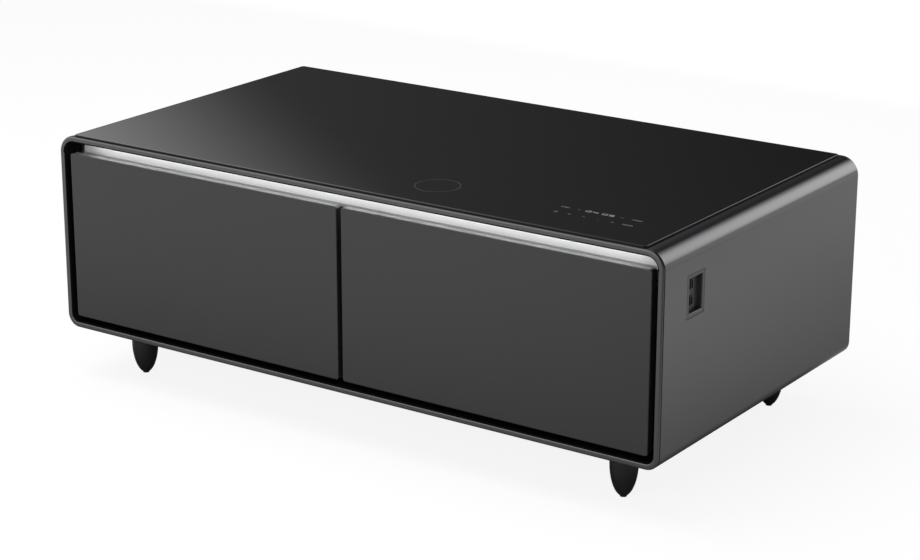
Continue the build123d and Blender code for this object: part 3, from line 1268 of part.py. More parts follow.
def power_inlet():
    """Mains inlet with a flange outside the back panel and three flat pins."""
    place = Pos(INLET_X, Z_UNDER + INLET_LIFT)
    flange = RectangleRounded(INLET_FLANGE_WIDTH, INLET_FLANGE_HEIGHT, INLET_FLANGE_CORNER)
    y_face = Y_PANEL_BACK + INLET_FLANGE_WALL
    inlet = slab(place * flange, Y_PANEL_BACK, y_face)
    inlet += slab(inlet_outline(0), y_face - INLET_BODY_DEPTH, Y_PANEL_BACK)
    cavity = inlet_shape(INLET_BODY_WIDTH - 2 * INLET_WALL, INLET_BODY_HEIGHT - 2 * INLET_WALL)
    inlet -= slab(place * cavity, y_face - INLET_CAVITY_DEPTH, y_face + OVERRUN)
    pins = [(-PIN_SPREAD, -PIN_RISE), (0, PIN_RISE), (PIN_SPREAD, -PIN_RISE)]
    blades = [place * Pos(x, z) * Rectangle(PIN_WIDTH, PIN_HEIGHT) for x, z in pins]
    y_root = y_face - INLET_CAVITY_DEPTH
    return inlet + slab(Sketch() + blades, y_root, y_root + PIN_LENGTH)


# Assembly
PARTS = {
    "outer_shell": outer_shell(),
    "chassis_plate": chassis_plate(),
    "front_trim_frame": front_trim_frame(),
    "face_frame": face_frame(),
    "top_glass": top_glass(),
    "back_panel": back_panel(),
    "back_panel_screws": back_panel_screws(),
    "foot_pads": foot_pads(),
    "foot_studs": foot_studs(),
    "insulation_foam": insulation_foam(),
    "bay_wall": bay_wall(),
    "header_cover": header_cover(),
    "light_reflector": light_reflector(),
    "led_channel": led_channel(),
    "led_diffuser": led_diffuser(),
    "charger_housing": charger_housing(),
    "charger_coil": charger_coil(),
    "touch_tray": touch_tray(),
    "touch_board": touch_board(),
    "outlet_bezel": outlet_bezel(),
    "outlet_module": outlet_module(),
    "slide_outer_rails": slide_outer_rails(),
    "compressor": compressor(),
    "compressor_mounts": compressor_mounts(),
    "condenser_tubes": condenser_tubes(),
    "condenser_fins": condenser_fins(),
    "fan_shroud": fan_shroud(),
    "fan_frame": fan_frame(),
    "fan_rotor": fan_rotor(),
    "filter_drier": filter_drier(),
    "refrigerant_pipes": refrigerant_pipes(),
    "drain_pan": drain_pan(),
    "control_board": control_board(),
    "power_inlet": power_inlet(),
}
for corner, (x_side, y_side) in CORNERS.items():
    PARTS[f"foot_{corner}"] = foot(x_side, y_side)
for name, side in SIDES.items():
    x_mid = side * DRAWER_X
    PARTS[f"liner_{name}"] = liner(x_mid)
    PARTS[f"evaporator_{name}"] = evaporator(x_mid)
    PARTS[f"drawer_{name}_front"] = drawer_front(x_mid)
    PARTS[f"drawer_{name}_grip"] = drawer_grip(x_mid)
    PARTS[f"drawer_{name}_core"] = drawer_core(x_mid)
    PARTS[f"drawer_{name}_gasket"] = drawer_gasket(x_mid)
    PARTS[f"drawer_{name}_bin"] = drawer_bin(x_mid)
    PARTS[f"drawer_{name}_screws"] = drawer_screws(x_mid)
    PARTS[f"slide_{name}_inner_rails"] = rail_pair(inner_section(), x_mid)
    PARTS[f"slide_{name}_middle_rails"] = rail_pair(middle_section(), x_mid)

os.makedirs("parts", exist_ok=True)
for node, shape in PARTS.items():
    pieces = shape if isinstance(shape, list) else [shape]
    solids = [solid for piece in pieces for solid in piece.solids()]
    export_step(solids[0] if len(solids) == 1 else Compound(children=solids), f"parts/{node}.step")
    print(node, len(solids))
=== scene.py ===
"""Refrigerator coffee table: finished pieces, finishes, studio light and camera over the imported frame."""

from __future__ import annotations

import json
import logging
import math
from dataclasses import dataclass, field
from enum import Enum
from typing import Any, Callable, Optional, Sequence

import bmesh
import bpy
from mathutils import Matrix, Vector

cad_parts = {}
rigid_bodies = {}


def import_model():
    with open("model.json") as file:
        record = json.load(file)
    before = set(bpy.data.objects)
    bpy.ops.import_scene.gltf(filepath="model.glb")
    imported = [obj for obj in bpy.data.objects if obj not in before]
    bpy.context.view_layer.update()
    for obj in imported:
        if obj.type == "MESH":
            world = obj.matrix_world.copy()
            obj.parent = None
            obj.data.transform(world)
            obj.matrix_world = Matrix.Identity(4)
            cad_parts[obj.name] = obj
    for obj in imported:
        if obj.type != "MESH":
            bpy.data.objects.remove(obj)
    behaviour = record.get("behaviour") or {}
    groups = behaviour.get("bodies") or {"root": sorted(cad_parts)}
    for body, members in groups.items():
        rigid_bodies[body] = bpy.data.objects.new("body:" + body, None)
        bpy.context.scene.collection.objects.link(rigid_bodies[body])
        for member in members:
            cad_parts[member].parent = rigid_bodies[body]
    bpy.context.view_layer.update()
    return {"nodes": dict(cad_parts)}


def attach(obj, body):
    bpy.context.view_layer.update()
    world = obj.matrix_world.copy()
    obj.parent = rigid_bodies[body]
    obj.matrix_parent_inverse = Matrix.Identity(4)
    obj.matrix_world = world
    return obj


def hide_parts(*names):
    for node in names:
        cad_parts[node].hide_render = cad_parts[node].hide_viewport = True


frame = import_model()
LOG = logging.getLogger("table")
MM = 0.001
MERGE = 0.00001
FLAT_ANGLE = 1.0
SHARP_ANGLE = 32.0
BEVEL_ANGLE = 40.0
BEVEL_STEPS = 2

Point = tuple[float, float]
Triple = tuple[float, float, float]
Colour = Triple
Place = Callable[[float, float, float], Triple]
SpanNumber = Callable[[int], int]
Object = bpy.types.Object


# Shader maths
def add_node(tree: bpy.types.NodeTree, kind: str, settings: dict, sockets: dict) -> bpy.types.Node:
    """Add one node to a tree.

    Args:
        tree: The tree.
        kind: The node's type.
        settings: Its own settings, set first.
        sockets: Values or sockets by input name or number.

    Returns:
        The node.
    """
    node = tree.nodes.new(kind)
    for key, value in settings.items():
        setattr(node, key, value)
    for key, value in sockets.items():
        by_name = isinstance(key, str)
        socket = next(s for s in node.inputs if s.name == key and s.enabled) if by_name else node.inputs[key]
        if isinstance(value, bpy.types.NodeSocket):
            tree.links.new(value, socket)
        else:
            socket.default_value = value
    return node


class Wire:
    """A shader value that turns arithmetic into Math nodes."""

    def __init__(self, shade: "Shade", socket: bpy.types.NodeSocket) -> None:
        """Keep the tree's helper and the output socket."""
        self.shade = shade
        self.socket = socket

    def math(self, operation: str, second: Any = 0.0) -> "Wire":
        """Add one Math node for this value and a second one."""
        return self.shade.node("ShaderNodeMath", {"operation": operation}, {0: self, 1: second})

    def __add__(self, other: Any) -> "Wire":
        """Add."""
        return self.math("ADD", other)

    def __sub__(self, other: Any) -> "Wire":
        """Subtract."""
        return self.math("SUBTRACT", other)

    def __rsub__(self, other: Any) -> "Wire":
        """Subtract from a number."""
        return self * -1.0 + other

    def __mul__(self, other: Any) -> "Wire":
        """Multiply."""
        return self.math("MULTIPLY", other)

    def __pow__(self, other: Any) -> "Wire":
        """Raise to a power."""
        return self.math("POWER", other)

    __radd__, __rmul__ = __add__, __mul__

    def over(self, limit: float) -> "Wire":
        """Give one where the value is over a limit, else zero."""
        return self.math("GREATER_THAN", limit)

    def ramp(self, low: float, high: float) -> "Wire":
        """Map the range from low to high smoothly to 0 to 1."""
        sockets = {"Value": self, "From Min": low, "From Max": high}
        return self.shade.node("ShaderNodeMapRange", {"interpolation_type": "SMOOTHSTEP"}, sockets)


class Shade:
    """Node tree of one material or world."""

    def __init__(self, owner: Any) -> None:
        """Start from an empty tree.

        Args:
            owner: The material or world.
        """
        owner.use_nodes = True
        self.tree = owner.node_tree
        self.tree.nodes.clear()

    def node(self, kind: str, settings: dict = {}, sockets: dict = {}, output: Any = 0) -> Wire:
        """Add one node.

        Args:
            kind: The node's type.
            settings: Its own settings.
            sockets: Values or wires by input name or number.
            output: The output to hand back, by name or number.

        Returns:
            The chosen output.
        """
        plain = {key: value.socket if isinstance(value, Wire) else value for key, value in sockets.items()}
        node = add_node(self.tree, kind, settings, plain)
        outputs = [s for s in node.outputs if s.enabled]
        chosen = node.outputs[output] if isinstance(output, str) else (outputs[output] if outputs else None)
        return Wire(self, chosen)

    def place(self, scale: Triple = (1.0, 1.0, 1.0), turn: Triple = (0.0, 0.0, 0.0)) -> Wire:
        """Object coordinates, stretched along each axis and turned about each by its radians."""
        where = self.node("ShaderNodeTexCoord", output="Object")
        return self.node("ShaderNodeMapping", {}, {"Vector": where, "Scale": scale, "Rotation": turn})

    def axis(self, name: str) -> Wire:
        """One axis of the object coordinates."""
        return self.node("ShaderNodeSeparateXYZ", {}, {0: self.place()}, name)

    def noise(self, where: Wire, scale: float, detail: float = 2.0, rough: float = 0.5) -> Wire:
        """Noise between 0 and 1, from the cells in a metre, the octaves and the share of the finer ones."""
        sockets = {"Vector": where, "Scale": scale, "Detail": detail, "Roughness": rough}
        return self.node("ShaderNodeTexNoise", {}, sockets)

    def cells(self, scale: float, **settings: str) -> Wire:
        """Distance to the nearest of the scattered points, from the cells in a metre."""
        sockets = {"Vector": self.place(), "Scale": scale}
        return self.node("ShaderNodeTexVoronoi", {"feature": "F1", **settings}, sockets)

    def tint(self, factor: Wire, low: Colour, high: Colour) -> Wire:
        """Mix two colours.

        Args:
            factor: 0 gives the first, 1 the second.
            low: First colour.
            high: Second colour.

        Returns:
            The mixed colour.
        """
        settings = {"data_type": "RGBA"}
        sockets = {"Factor": factor, "A": (*low, 1.0), "B": (*high, 1.0)}
        return self.node("ShaderNodeMix", settings, sockets)

    def bump(self, height: Wire, depth: float) -> Wire:
        """Normal bent by a relief of heights from 0 to 1 and a depth in metres."""
        return self.node("ShaderNodeBump", {}, {"Height": height, "Distance": depth, "Strength": 1.0})

    def close(self, shader: Wire, output: str = "ShaderNodeOutputMaterial") -> None:
        """Join the last shader to the output."""
        self.node(output, {}, {"Surface": shader})


def scaled(colour: Colour, share: float) -> Colour:
    """A colour made darker or lighter by a share."""
    return tuple(channel * share for channel in colour)


# Finishes
@dataclass(frozen=True)
class Finish:
    """Base of the table's finishes: a plain surface with a faint uneven sheen."""

    name: str
    colour: Colour
    roughness: float = 0.4
    metallic: float = 0.0
    spread: float = 0.08
    specular: float = 0.5

    def material(self) -> bpy.types.Material:
        """Build the material, or hand back the one already built.

        Returns:
            The material.
        """
        known = bpy.data.materials.get(self.name)
        if known is not None:
            return known
        material = bpy.data.materials.new(self.name)
        self.dress(Shade(material))
        return material

    def dress(self, shade: Shade) -> None:
        """Write the material's nodes."""
        cloud = shade.noise(shade.place(), 14.0, 3.0)
        self.surface(shade, self.uneven(shade, cloud), self.roughness + (cloud - 0.5) * 0.1)

    def uneven(self, shade: Shade, cloud: Wire) -> Wire:
        """Base colour that follows a soft cloud."""
        return shade.tint(cloud, scaled(self.colour, 1 - self.spread), scaled(self.colour, 1 + self.spread))

    def surface(self, shade: Shade, base: Any, rough: Any, normal: Optional[Wire] = None, **more: Any) -> None:
        """Close the material with one Principled shader.

        Args:
            shade: The material's tree.
            base: Base colour, as a wire.
            rough: Roughness, as a wire or a number.
            normal: Bent normal, if any.
            more: Further sockets by name, with spaces as underscores.
        """
        sockets: dict = {"Base Color": base, "Roughness": rough, "Metallic": self.metallic}
        sockets["Specular IOR Level"] = self.specular
        if normal is not None:
            sockets["Normal"] = normal
        sockets.update({key.replace("_", " "): value for key, value in more.items()})
        shade.close(shade.node("ShaderNodeBsdfPrincipled", {}, sockets))


@dataclass(frozen=True)
class PowderCoat(Finish):
    """Baked powder coat: fine grain over a soft orange peel."""

    grain: float = 1500.0
    peel: float = 210.0
    depth: float = 0.00004

    def dress(self, shade: Shade) -> None:
        """Write the material's nodes.

        Args:
            shade: The material's tree.
        """
        where = shade.place()
        peel = shade.noise(where, self.peel, 2.0)
        grain = shade.noise(where, self.grain, 1.0)
        cloud = shade.noise(where, 3.0, 3.0)
        normal = shade.bump(peel * 0.6 + grain * 0.4, self.depth)
        rough = self.roughness + (cloud - 0.5) * 0.05 + (grain - 0.5) * 0.06
        self.surface(shade, self.uneven(shade, cloud * 0.6 + grain * 0.4), rough, normal)


@dataclass(frozen=True)
class BlackGlass(Finish):
    """Back-printed tempered glass: polished, with the faintest wave and wiping marks."""

    def dress(self, shade: Shade) -> None:
        """Write the material's nodes.

        Args:
            shade: The material's tree.
        """
        wave = shade.noise(shade.place(), 6.0, 1.0)
        wipe = shade.noise(shade.place((3.0, 14.0, 3.0), (0.0, 0.0, 0.5)), 2.0, 4.0, 0.6)
        normal = shade.bump(wave, 0.00006)
        rough = self.roughness + wipe.ramp(0.5, 0.8) * 0.02
        self.surface(shade, self.uneven(shade, wipe), rough, normal)


@dataclass(frozen=True)
class BrushedMetal(Finish):
    """Metal with fine lines along one axis."""

    along: int = 0
    depth: float = 0.00002
    # Heights and kept colour share of a painted shade that darkens the metal downwards, for its lamp's light falling
    # off
    painted_falloff: tuple[float, float, float] = (0.0, 0.0, 1.0)

    def dress(self, shade: Shade) -> None:
        """Write the material's nodes; the metal may darken downwards between two heights to a share of its colour, a
        painted shade for its lamp's light falling off.

        Args:
            shade: The material's tree.
        """
        stretch = [1400.0, 1400.0, 1400.0]
        stretch[self.along] = 9.0
        lines = shade.noise(shade.place((stretch[0], stretch[1], stretch[2])), 1.0, 3.0, 0.6)
        cloud = shade.noise(shade.place(), 20.0, 2.0)
        rough = self.roughness + (lines - 0.5) * 0.25 + (cloud - 0.5) * 0.06
        base = self.uneven(shade, lines)
        low, high, dull = self.painted_falloff
        # Painted shade: below the upper height the colour darkens, down to the dull share at the lower one
        if high > low:
            painted_shade = shade.tint(shade.axis("Z").ramp(low, high), (dull, dull, dull), (1.0, 1.0, 1.0))
            settings = {"data_type": "RGBA", "blend_type": "MULTIPLY"}
            base = shade.node("ShaderNodeMix", settings, {"Factor": 1.0, "A": base, "B": painted_shade})
        self.surface(shade, base, rough, shade.bump(lines, self.depth))


@dataclass(frozen=True)
class ZincPlate(Finish):
    """Zinc-plated sheet steel: a mottled bright and dull spangle."""

    def dress(self, shade: Shade) -> None:
        """Write the material's nodes.

        Args:
            shade: The material's tree.
        """
        fine = shade.noise(shade.place(), 600.0, 2.0)
        mottle = shade.cells(140.0) * 0.7 + fine * 0.3
        rough = self.roughness + (mottle - 0.4) * 0.25
        self.surface(shade, self.uneven(shade, mottle), rough, shade.bump(fine, 0.00003))


@dataclass(frozen=True)
class Moulded(Finish):
    """Moulded plastic with a spark-eroded texture."""

    grain: float = 1100.0
    depth: float = 0.00006

    def dress(self, shade: Shade) -> None:
        """Write the material's nodes.

        Args:
            shade: The material's tree.
        """
        where = shade.place()
        grain = shade.noise(where, self.grain, 2.0, 0.6)
        flow = shade.noise(where, 9.0, 3.0)
        rough = self.roughness + (grain - 0.5) * 0.12 + (flow - 0.5) * 0.06
        self.surface(shade, self.uneven(shade, flow), rough, shade.bump(grain, self.depth))


@dataclass(frozen=True)
class Rubber(Finish):
    """Matt rubber with a dusty bloom."""

    def dress(self, shade: Shade) -> None:
        """Write the material's nodes.

        Args:
            shade: The material's tree.
        """
        where = shade.place()
        bloom = shade.noise(where, 60.0, 4.0, 0.65)
        pores = shade.noise(where, 900.0, 1.0)
        rough = self.roughness + (bloom - 0.5) * 0.2
        self.surface(shade, self.uneven(shade, bloom), rough, shade.bump(pores, 0.00005))


@dataclass(frozen=True)
class FoamBlock(Finish):
    """Rigid foam with a cell structure."""

    def dress(self, shade: Shade) -> None:
        """Write the material's nodes.

        Args:
            shade: The material's tree.
        """
        cells = shade.cells(420.0)
        cloud = shade.noise(shade.place(), 25.0, 3.0)
        self.surface(shade, self.uneven(shade, cells * 0.5 + cloud * 0.5), self.roughness, shade.bump(cells, 0.0004))


@dataclass(frozen=True)
class CircuitBoard(Finish):
    """Green board with a pattern of copper tracks under the lacquer."""

    track: Colour = (0.10, 0.26, 0.10)

    def dress(self, shade: Shade) -> None:
        """Write the material's nodes.

        Args:
            shade: The material's tree.
        """
        tracks = shade.cells(160.0, distance="CHEBYCHEV").over(0.42)
        base = shade.tint(tracks, self.colour, self.track)
        self.surface(shade, base, self.roughness - tracks * 0.1, shade.bump(tracks, 0.00005))


@dataclass(frozen=True)
class GlowingLens(Finish):
    """Frosted lens lit from behind by a row of light points."""

    glow: float = 14.0
    pitch: float = 0.0083

    def dress(self, shade: Shade) -> None:
        """Write the material's nodes.

        Args:
            shade: The material's tree.
        """
        wave = (shade.axis("X") * (2 * math.pi / self.pitch)).math("COSINE")
        light = 0.9 + wave * 0.1
        glow = shade.tint(light, scaled(self.colour, 0.3), self.colour)
        base = shade.tint(light, scaled(self.colour, 0.9), self.colour)
        self.surface(shade, base, self.roughness, Emission_Color=glow, Emission_Strength=self.glow)


@dataclass(frozen=True)
class Lacquer(Finish):
    """Sprayed satin lacquer on a turned foot, with faint turning rings."""

    def dress(self, shade: Shade) -> None:
        """Write the material's nodes.

        Args:
            shade: The material's tree.
        """
        where = shade.place()
        rings = shade.noise(shade.place((2.0, 2.0, 900.0)), 1.0, 2.0)
        peel = shade.noise(where, 260.0, 2.0)
        rough = self.roughness + (peel - 0.5) * 0.08
        self.surface(shade, self.uneven(shade, peel), rough, shade.bump(peel * 0.7 + rings * 0.3, 0.00003))


class Looks(Enum):
    """The finishes of the table's pieces."""

    BODY = PowderCoat("body_powder_coat", (0.0105, 0.0102, 0.0122), 0.17, specular=0.75)
    RIM = PowderCoat("rim_powder_coat", (0.095, 0.095, 0.098), 0.36, 0.9)
    # Black of the rim's inner walls and hidden sides, and painted shade on its outer seam and inner rounding
    RIM_EDGE = PowderCoat("rim_edge_coat", (0.004, 0.004, 0.0045), 0.65, specular=0.0)
    FRONT = PowderCoat("front_smooth_coat", (0.0155, 0.0155, 0.0158), 0.33, peel=160.0, depth=0.00002)
    INNER = PowderCoat("inner_matt_coat", (0.010, 0.010, 0.0105), 0.68, specular=0.15)
    GLASS = BlackGlass("back_printed_glass", (0.0035, 0.0035, 0.0037), 0.045, spread=0.1)
    GLASS_EDGE = Finish("ground_glass_edge", (0.006, 0.006, 0.0065), 0.6, specular=0.15)
    INK = Finish("printed_marks", (0.13, 0.13, 0.13), 0.25)
    INK_BRIGHT = Finish("display_marks", (0.40, 0.40, 0.40), 0.25)
    INK_FAINT = Finish("faint_marks", (0.075, 0.075, 0.077), 0.25)
    # The strip's colour darkens towards its lower edge: painted shade for the strip lamp's light falling off
    BRIGHT = BrushedMetal("bright_anodised", (0.86, 0.865, 0.87), 0.5, 0.25, 0.04, painted_falloff=(0.424, 0.464, 0.55))
    GRIP = BrushedMetal("grip_anodised", (0.12, 0.12, 0.122), 0.5, 0.35, 0.05, specular=0.25)
    LIP = BrushedMetal("lip_anodised", (0.30, 0.30, 0.303), 0.5, 0.35, 0.05, specular=0.25)
    MILL = BrushedMetal("mill_aluminium", (0.60, 0.61, 0.62), 0.42, 1.0, 0.08, along=2)
    ZINC = ZincPlate("zinc_plate", (0.55, 0.56, 0.57), 0.36, 1.0, 0.14)
    SLIDE = BrushedMetal("slide_zinc", (0.50, 0.51, 0.52), 0.30, 1.0, 0.08, along=1)
    BALL = Finish("ball_steel", (0.62, 0.62, 0.63), 0.14, 1.0, 0.02)
    COPPER = BrushedMetal("drawn_copper", (0.72, 0.36, 0.22), 0.3, 1.0, 0.12)
    PLASTIC = Moulded("moulded_black", (0.018, 0.018, 0.019), 0.5)
    BEZEL = Moulded("moulded_bezel", (0.030, 0.030, 0.031), 0.36, depth=0.00003)
    LINER = Moulded("liner_plastic", (0.76, 0.77, 0.78), 0.3, grain=300.0, depth=0.00003, spread=0.02)
    BIN = Moulded("bin_plastic", (0.66, 0.67, 0.69), 0.34, grain=500.0, depth=0.00004, spread=0.02)
    LENS = GlowingLens("frosted_lens", (1.0, 1.0, 1.0), 0.5)
    FOAM = FoamBlock("rigid_foam", (0.80, 0.70, 0.48), 0.8, spread=0.12)
    BOARD = CircuitBoard("circuit_board", (0.03, 0.16, 0.06), 0.4)
    FOOT = Lacquer("foot_lacquer", (0.012, 0.012, 0.0125), 0.38, specular=0.3)
    PAD = Rubber("pad_rubber", (0.022, 0.022, 0.022), 0.75, spread=0.2)
    GASKET = Rubber("gasket_rubber", (0.028, 0.028, 0.029), 0.6, spread=0.15)

    @property
    def material(self) -> bpy.types.Material:
        """The finish's material."""
        return self.value.material()


# Mesh tools
def arc(centre: Point, radius: float, start: float, end: float, steps: int) -> list[Point]:
    """Points along an arc between two angles in degrees, both ends among them."""
    turns = [math.radians(start + (end - start) * i / steps) for i in range(steps + 1)]
    return [(centre[0] + radius * math.cos(t), centre[1] + radius * math.sin(t)) for t in turns]


def circle(centre: Point, radius: float, steps: int) -> list[Point]:
    """Points round a circle."""
    return arc(centre, radius, 0, 360, steps)[:-1]


def eased(points: Sequence[Point], radii: Sequence[float], steps: int, closed: bool = True) -> list[Point]:
    """Round the corners of an outline.

    Args:
        points: The corners in order.
        radii: A radius for each corner, zero for a sharp one.
        steps: Spans in each round.
        closed: Whether the last corner joins the first.

    Returns:
        The rounded outline.
    """
    out: list[Point] = []
    count = len(points)
    for i, (point, radius) in enumerate(zip(points, radii)):
        if radius <= 0 or (not closed and i in (0, count - 1)):
            out.append(point)
            continue
        corner = Vector(point)
        back = (Vector(points[i - 1]) - corner).normalized()
        ahead = (Vector(points[(i + 1) % count]) - corner).normalized()
        half = back.angle(ahead) / 2
        reach = radius / math.tan(half)
        middle = corner + (back + ahead).normalized() * (radius / math.sin(half))
        first, last = corner + back * reach - middle, corner + ahead * reach - middle
        turn = first.angle_signed(last)
        for k in range(steps + 1):
            spoke = Matrix.Rotation(-turn * k / steps, 2) @ first
            out.append((middle.x + spoke.x, middle.y + spoke.y))
    return out


@dataclass
class RoundedOutline:
    """Rounded rectangle, walked counterclockwise, with the same points at every inset."""

    width: float
    height: float
    radii: Point
    centre: Point = (0.0, 0.0)
    corner_steps: int = 18
    right_stops: tuple[float, ...] = ()
    lead: float = 1.5

    def points(self, inset: float) -> list[Point]:
        """Outline moved in by an inset.

        Args:
            inset: Distance inwards.

        Returns:
            The points, from the lower end of the right side.
        """
        low, high = (max(radius - inset, 0.02) for radius in self.radii)
        x, y = self.width / 2 - inset, self.height / 2 - inset
        cx, cy = self.centre
        path: list[Point] = []
        for radius, right, up, start in ((low, 1, -1, -90), (high, 1, 1, 0), (high, -1, 1, 90), (low, -1, -1, 180)):
            middle = (cx + right * (x - radius), cy + up * (y - radius))
            turn = arc(middle, radius, start, start + 90, self.corner_steps)
            c, s = round(math.cos(math.radians(start))), round(math.sin(math.radians(start)))
            path.append((turn[0][0] + s * self.lead, turn[0][1] - c * self.lead))
            path += turn
            path.append((turn[-1][0] - c * self.lead, turn[-1][1] - s * self.lead))
            if (right, up) == (1, -1):
                path += [(cx + x, stop) for stop in self.right_stops]
        return path

    def open_top(self, path: list[Point]) -> list[Point]:
        """Drop the straight top of a path, so that it starts at its left end.

        Args:
            path: The path.

        Returns:
            The path without it.
        """
        top = max(v for _, v in path)
        start = next(i for i, (u, v) in enumerate(path) if v > top - 0.001 and u < self.centre[0])
        return path[start:] + path[:start]


class MeshMaker:
    """Gathers mesh parts in millimetres and turns them into one finished piece."""

    def __init__(self, name: str) -> None:
        """Start an empty mesh."""
        self.name = name
        self.bm = bmesh.new()

    def vert(self, point: Triple) -> bmesh.types.BMVert:
        """Add one point."""
        return self.bm.verts.new(Vector(point) * MM)

    def fill(self, loops: Sequence[Sequence[Triple]]) -> None:
        """Fill flat loops of points, the first one round the others.

        Args:
            loops: The outer loop, then the holes.
        """
        edges = []
        for loop in loops:
            verts = [self.vert(point) for point in loop]
            edges += [self.bm.edges.new(pair) for pair in zip(verts, verts[1:] + verts[:1])]
        bmesh.ops.triangle_fill(self.bm, use_beauty=True, use_dissolve=False, edges=edges)

    def rings(
        self,
        rings: Sequence[Sequence[Triple]],
        around: bool = True,
        along: bool = False,
        caps: tuple[bool, bool] = (False, False),
        material: Optional[SpanNumber] = None,
    ) -> None:
        """Join rings of points with quads.

        Args:
            rings: Rings with the same number of points.
            around: Whether each ring is closed.
            along: Whether the last ring joins the first.
            caps: Whether the first and the last ring are filled.
            material: Material number for each span between rings.
        """
        grid = [[self.vert(point) for point in ring] for ring in rings]
        count = len(grid[0])
        spans = len(grid) if along else len(grid) - 1
        for i in range(spans):
            low, high = grid[i], grid[(i + 1) % len(grid)]
            for j in range(count if around else count - 1):
                k = (j + 1) % count
                face = self.bm.faces.new((low[j], low[k], high[k], high[j]))
                face.material_index = material(i) if material else 0
        for wanted, ring in zip(caps, (grid[0], grid[-1])):
            if wanted:
                self.bm.faces.new(ring)

    def sweep(
        self,
        outline: RoundedOutline,
        section: Sequence[Point],
        place: Place,
        closed: bool = True,
        caps: tuple[bool, bool] = (False, False),
        material: Optional[SpanNumber] = None,
        part: Optional[Callable[[list[Point]], list[Point]]] = None,
    ) -> None:
        """Sweep a section of (inset, along) points round an outline.

        Args:
            outline: The outline.
            section: The section's points.
            place: Turns two outline coordinates and a place along into a point.
            closed: Whether the section is closed.
            caps: Whether the first and last rings are filled.
            material: Material number for each span of the section.
            part: Picks the part of the outline to sweep, whose ends are then closed.
        """
        rings = []
        for inset, along in section:
            path = outline.points(inset)
            path = part(path) if part else path
            rings.append([place(u, v, along) for u, v in path])
        self.rings(rings, part is None, closed, caps, material)
        if part:
            for end in (0, -1):
                self.bm.faces.new([self.vert(ring[end]) for ring in rings])

    def plate(self, loops: Sequence[Sequence[Point]], low: float, high: float, place: Place) -> None:
        """Flat plate with holes.

        Args:
            loops: The outer loop, then the holes.
            low: First level along the plate's normal.
            high: Last level.
            place: Turns two loop coordinates and a level into a point.
        """
        for level in (low, high):
            self.fill([[place(u, v, level) for u, v in loop] for loop in loops])
        for loop in loops:
            self.rings([[place(u, v, level) for u, v in loop] for level in (low, high)])

    def lathe(self, profile: Sequence[Point], centre: Point, steps: int) -> None:
        """Turn a profile of (radius, height) about an upright axis.

        Args:
            profile: The profile from bottom to top.
            centre: The axis in X and Y.
            steps: Spans round the axis.
        """
        rings = [[(x, y, z) for x, y in circle(centre, radius, steps)] for radius, z in profile]
        self.rings(rings, caps=(True, True))

    def bar(self, section: Sequence[Point], start: float, end: float, place: Place) -> None:
        """Straight bar of a closed section between two places along."""
        rings = [[place(u, v, along) for u, v in section] for along in (start, end)]
        self.rings(rings, caps=(True, True))

    def finish(self, *looks: Looks, sharp: float = SHARP_ANGLE, merge: float = MERGE) -> Object:
        """Merge doubles, point faces outwards and hand over the object.

        Args:
            looks: The finishes, in the order of the material numbers.
            sharp: Angle in degrees over which an edge stays sharp.
            merge: Distance in metres within which points are one.

        Returns:
            The finished object.
        """
        bmesh.ops.remove_doubles(self.bm, verts=self.bm.verts, dist=merge)
        bmesh.ops.dissolve_degenerate(self.bm, edges=self.bm.edges, dist=merge / 2)
        bmesh.ops.recalc_face_normals(self.bm, faces=self.bm.faces)
        mesh = bpy.data.meshes.new(self.name)
        self.bm.to_mesh(mesh)
        self.bm.free()
        return dressed_object(self.name, mesh, looks, sharp)


def linked(name: str, data: Any) -> Object:
    """Put an object with its data into the scene.

    Args:
        name: Its name.
        data: Its mesh, camera or lamp.

    Returns:
        The object.
    """
    thing = bpy.data.objects.new(name, data)
    bpy.context.scene.collection.objects.link(thing)
    return thing


def dressed_object(name: str, mesh: bpy.types.Mesh, looks: Sequence[Looks] = (), sharp: float = SHARP_ANGLE) -> Object:
    """Put a mesh into the scene with its finishes.

    Args:
        name: The piece's name.
        mesh: Its mesh.
        looks: Its finishes, none where it has them already.
        sharp: Angle in degrees over which an edge stays sharp.

    Returns:
        The object.
    """
    for look in looks:
        mesh.materials.append(look.material)
    mesh.shade_smooth()
    mesh.set_sharp_from_angle(angle=math.radians(sharp))
    return linked(name, mesh)


def settle(piece: Object, slot: str, *nodes: str, body: str = "cabinet") -> None:
    """Tie a piece to its body and hide the nodes that it stands for.

    Args:
        piece: The finished piece.
        slot: The record's material slot; not used.
        nodes: The nodes that it replaces.
        body: The body that it rides on.
    """
    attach(piece, body)
    if nodes:
        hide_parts(*nodes)
    LOG.info("%s: %d faces on %s", piece.name, len(piece.data.polygons), body)


def refined(node: str, name: str, look: Looks, edge: float) -> Object:
    """Copy a node's shape and ease its edges.

    Args:
        node: The node.
        name: The new piece's name.
        look: Its finish.
        edge: Width of the eased edges in millimetres, zero for none.

    Returns:
        The new piece.
    """
    bm = bmesh.new()
    bm.from_mesh(frame["nodes"][node].data)
    bmesh.ops.remove_doubles(bm, verts=bm.verts, dist=2 * MERGE)
    bmesh.ops.dissolve_limit(bm, angle_limit=math.radians(FLAT_ANGLE), verts=bm.verts, edges=bm.edges)
    mesh = bpy.data.meshes.new(name)
    bm.to_mesh(mesh)
    bm.free()
    custom = mesh.attributes.get("custom_normal")
    if custom is not None:
        mesh.attributes.remove(custom)
    piece = dressed_object(name, mesh, (look,), 30.0)
    if edge:
        bevel = piece.modifiers.new("eased_edges", "BEVEL")
        bevel.width = edge * MM
        bevel.segments = BEVEL_STEPS
        bevel.limit_method = "ANGLE"
        bevel.angle_limit = math.radians(BEVEL_ANGLE)
        bevel.harden_normals = True
    return piece


def in_front(u: float, v: float, along: float) -> Triple:
    """Outline in X and Z, swept along Y."""
    return (u, along, v)


def on_top(u: float, v: float, along: float) -> Triple:
    """Outline in X and Y, swept along Z."""
    return (u, v, along)


def from_side(u: float, v: float, along: float) -> Triple:
    """Outline in Y and Z, swept along X."""
    return (along, u, v)


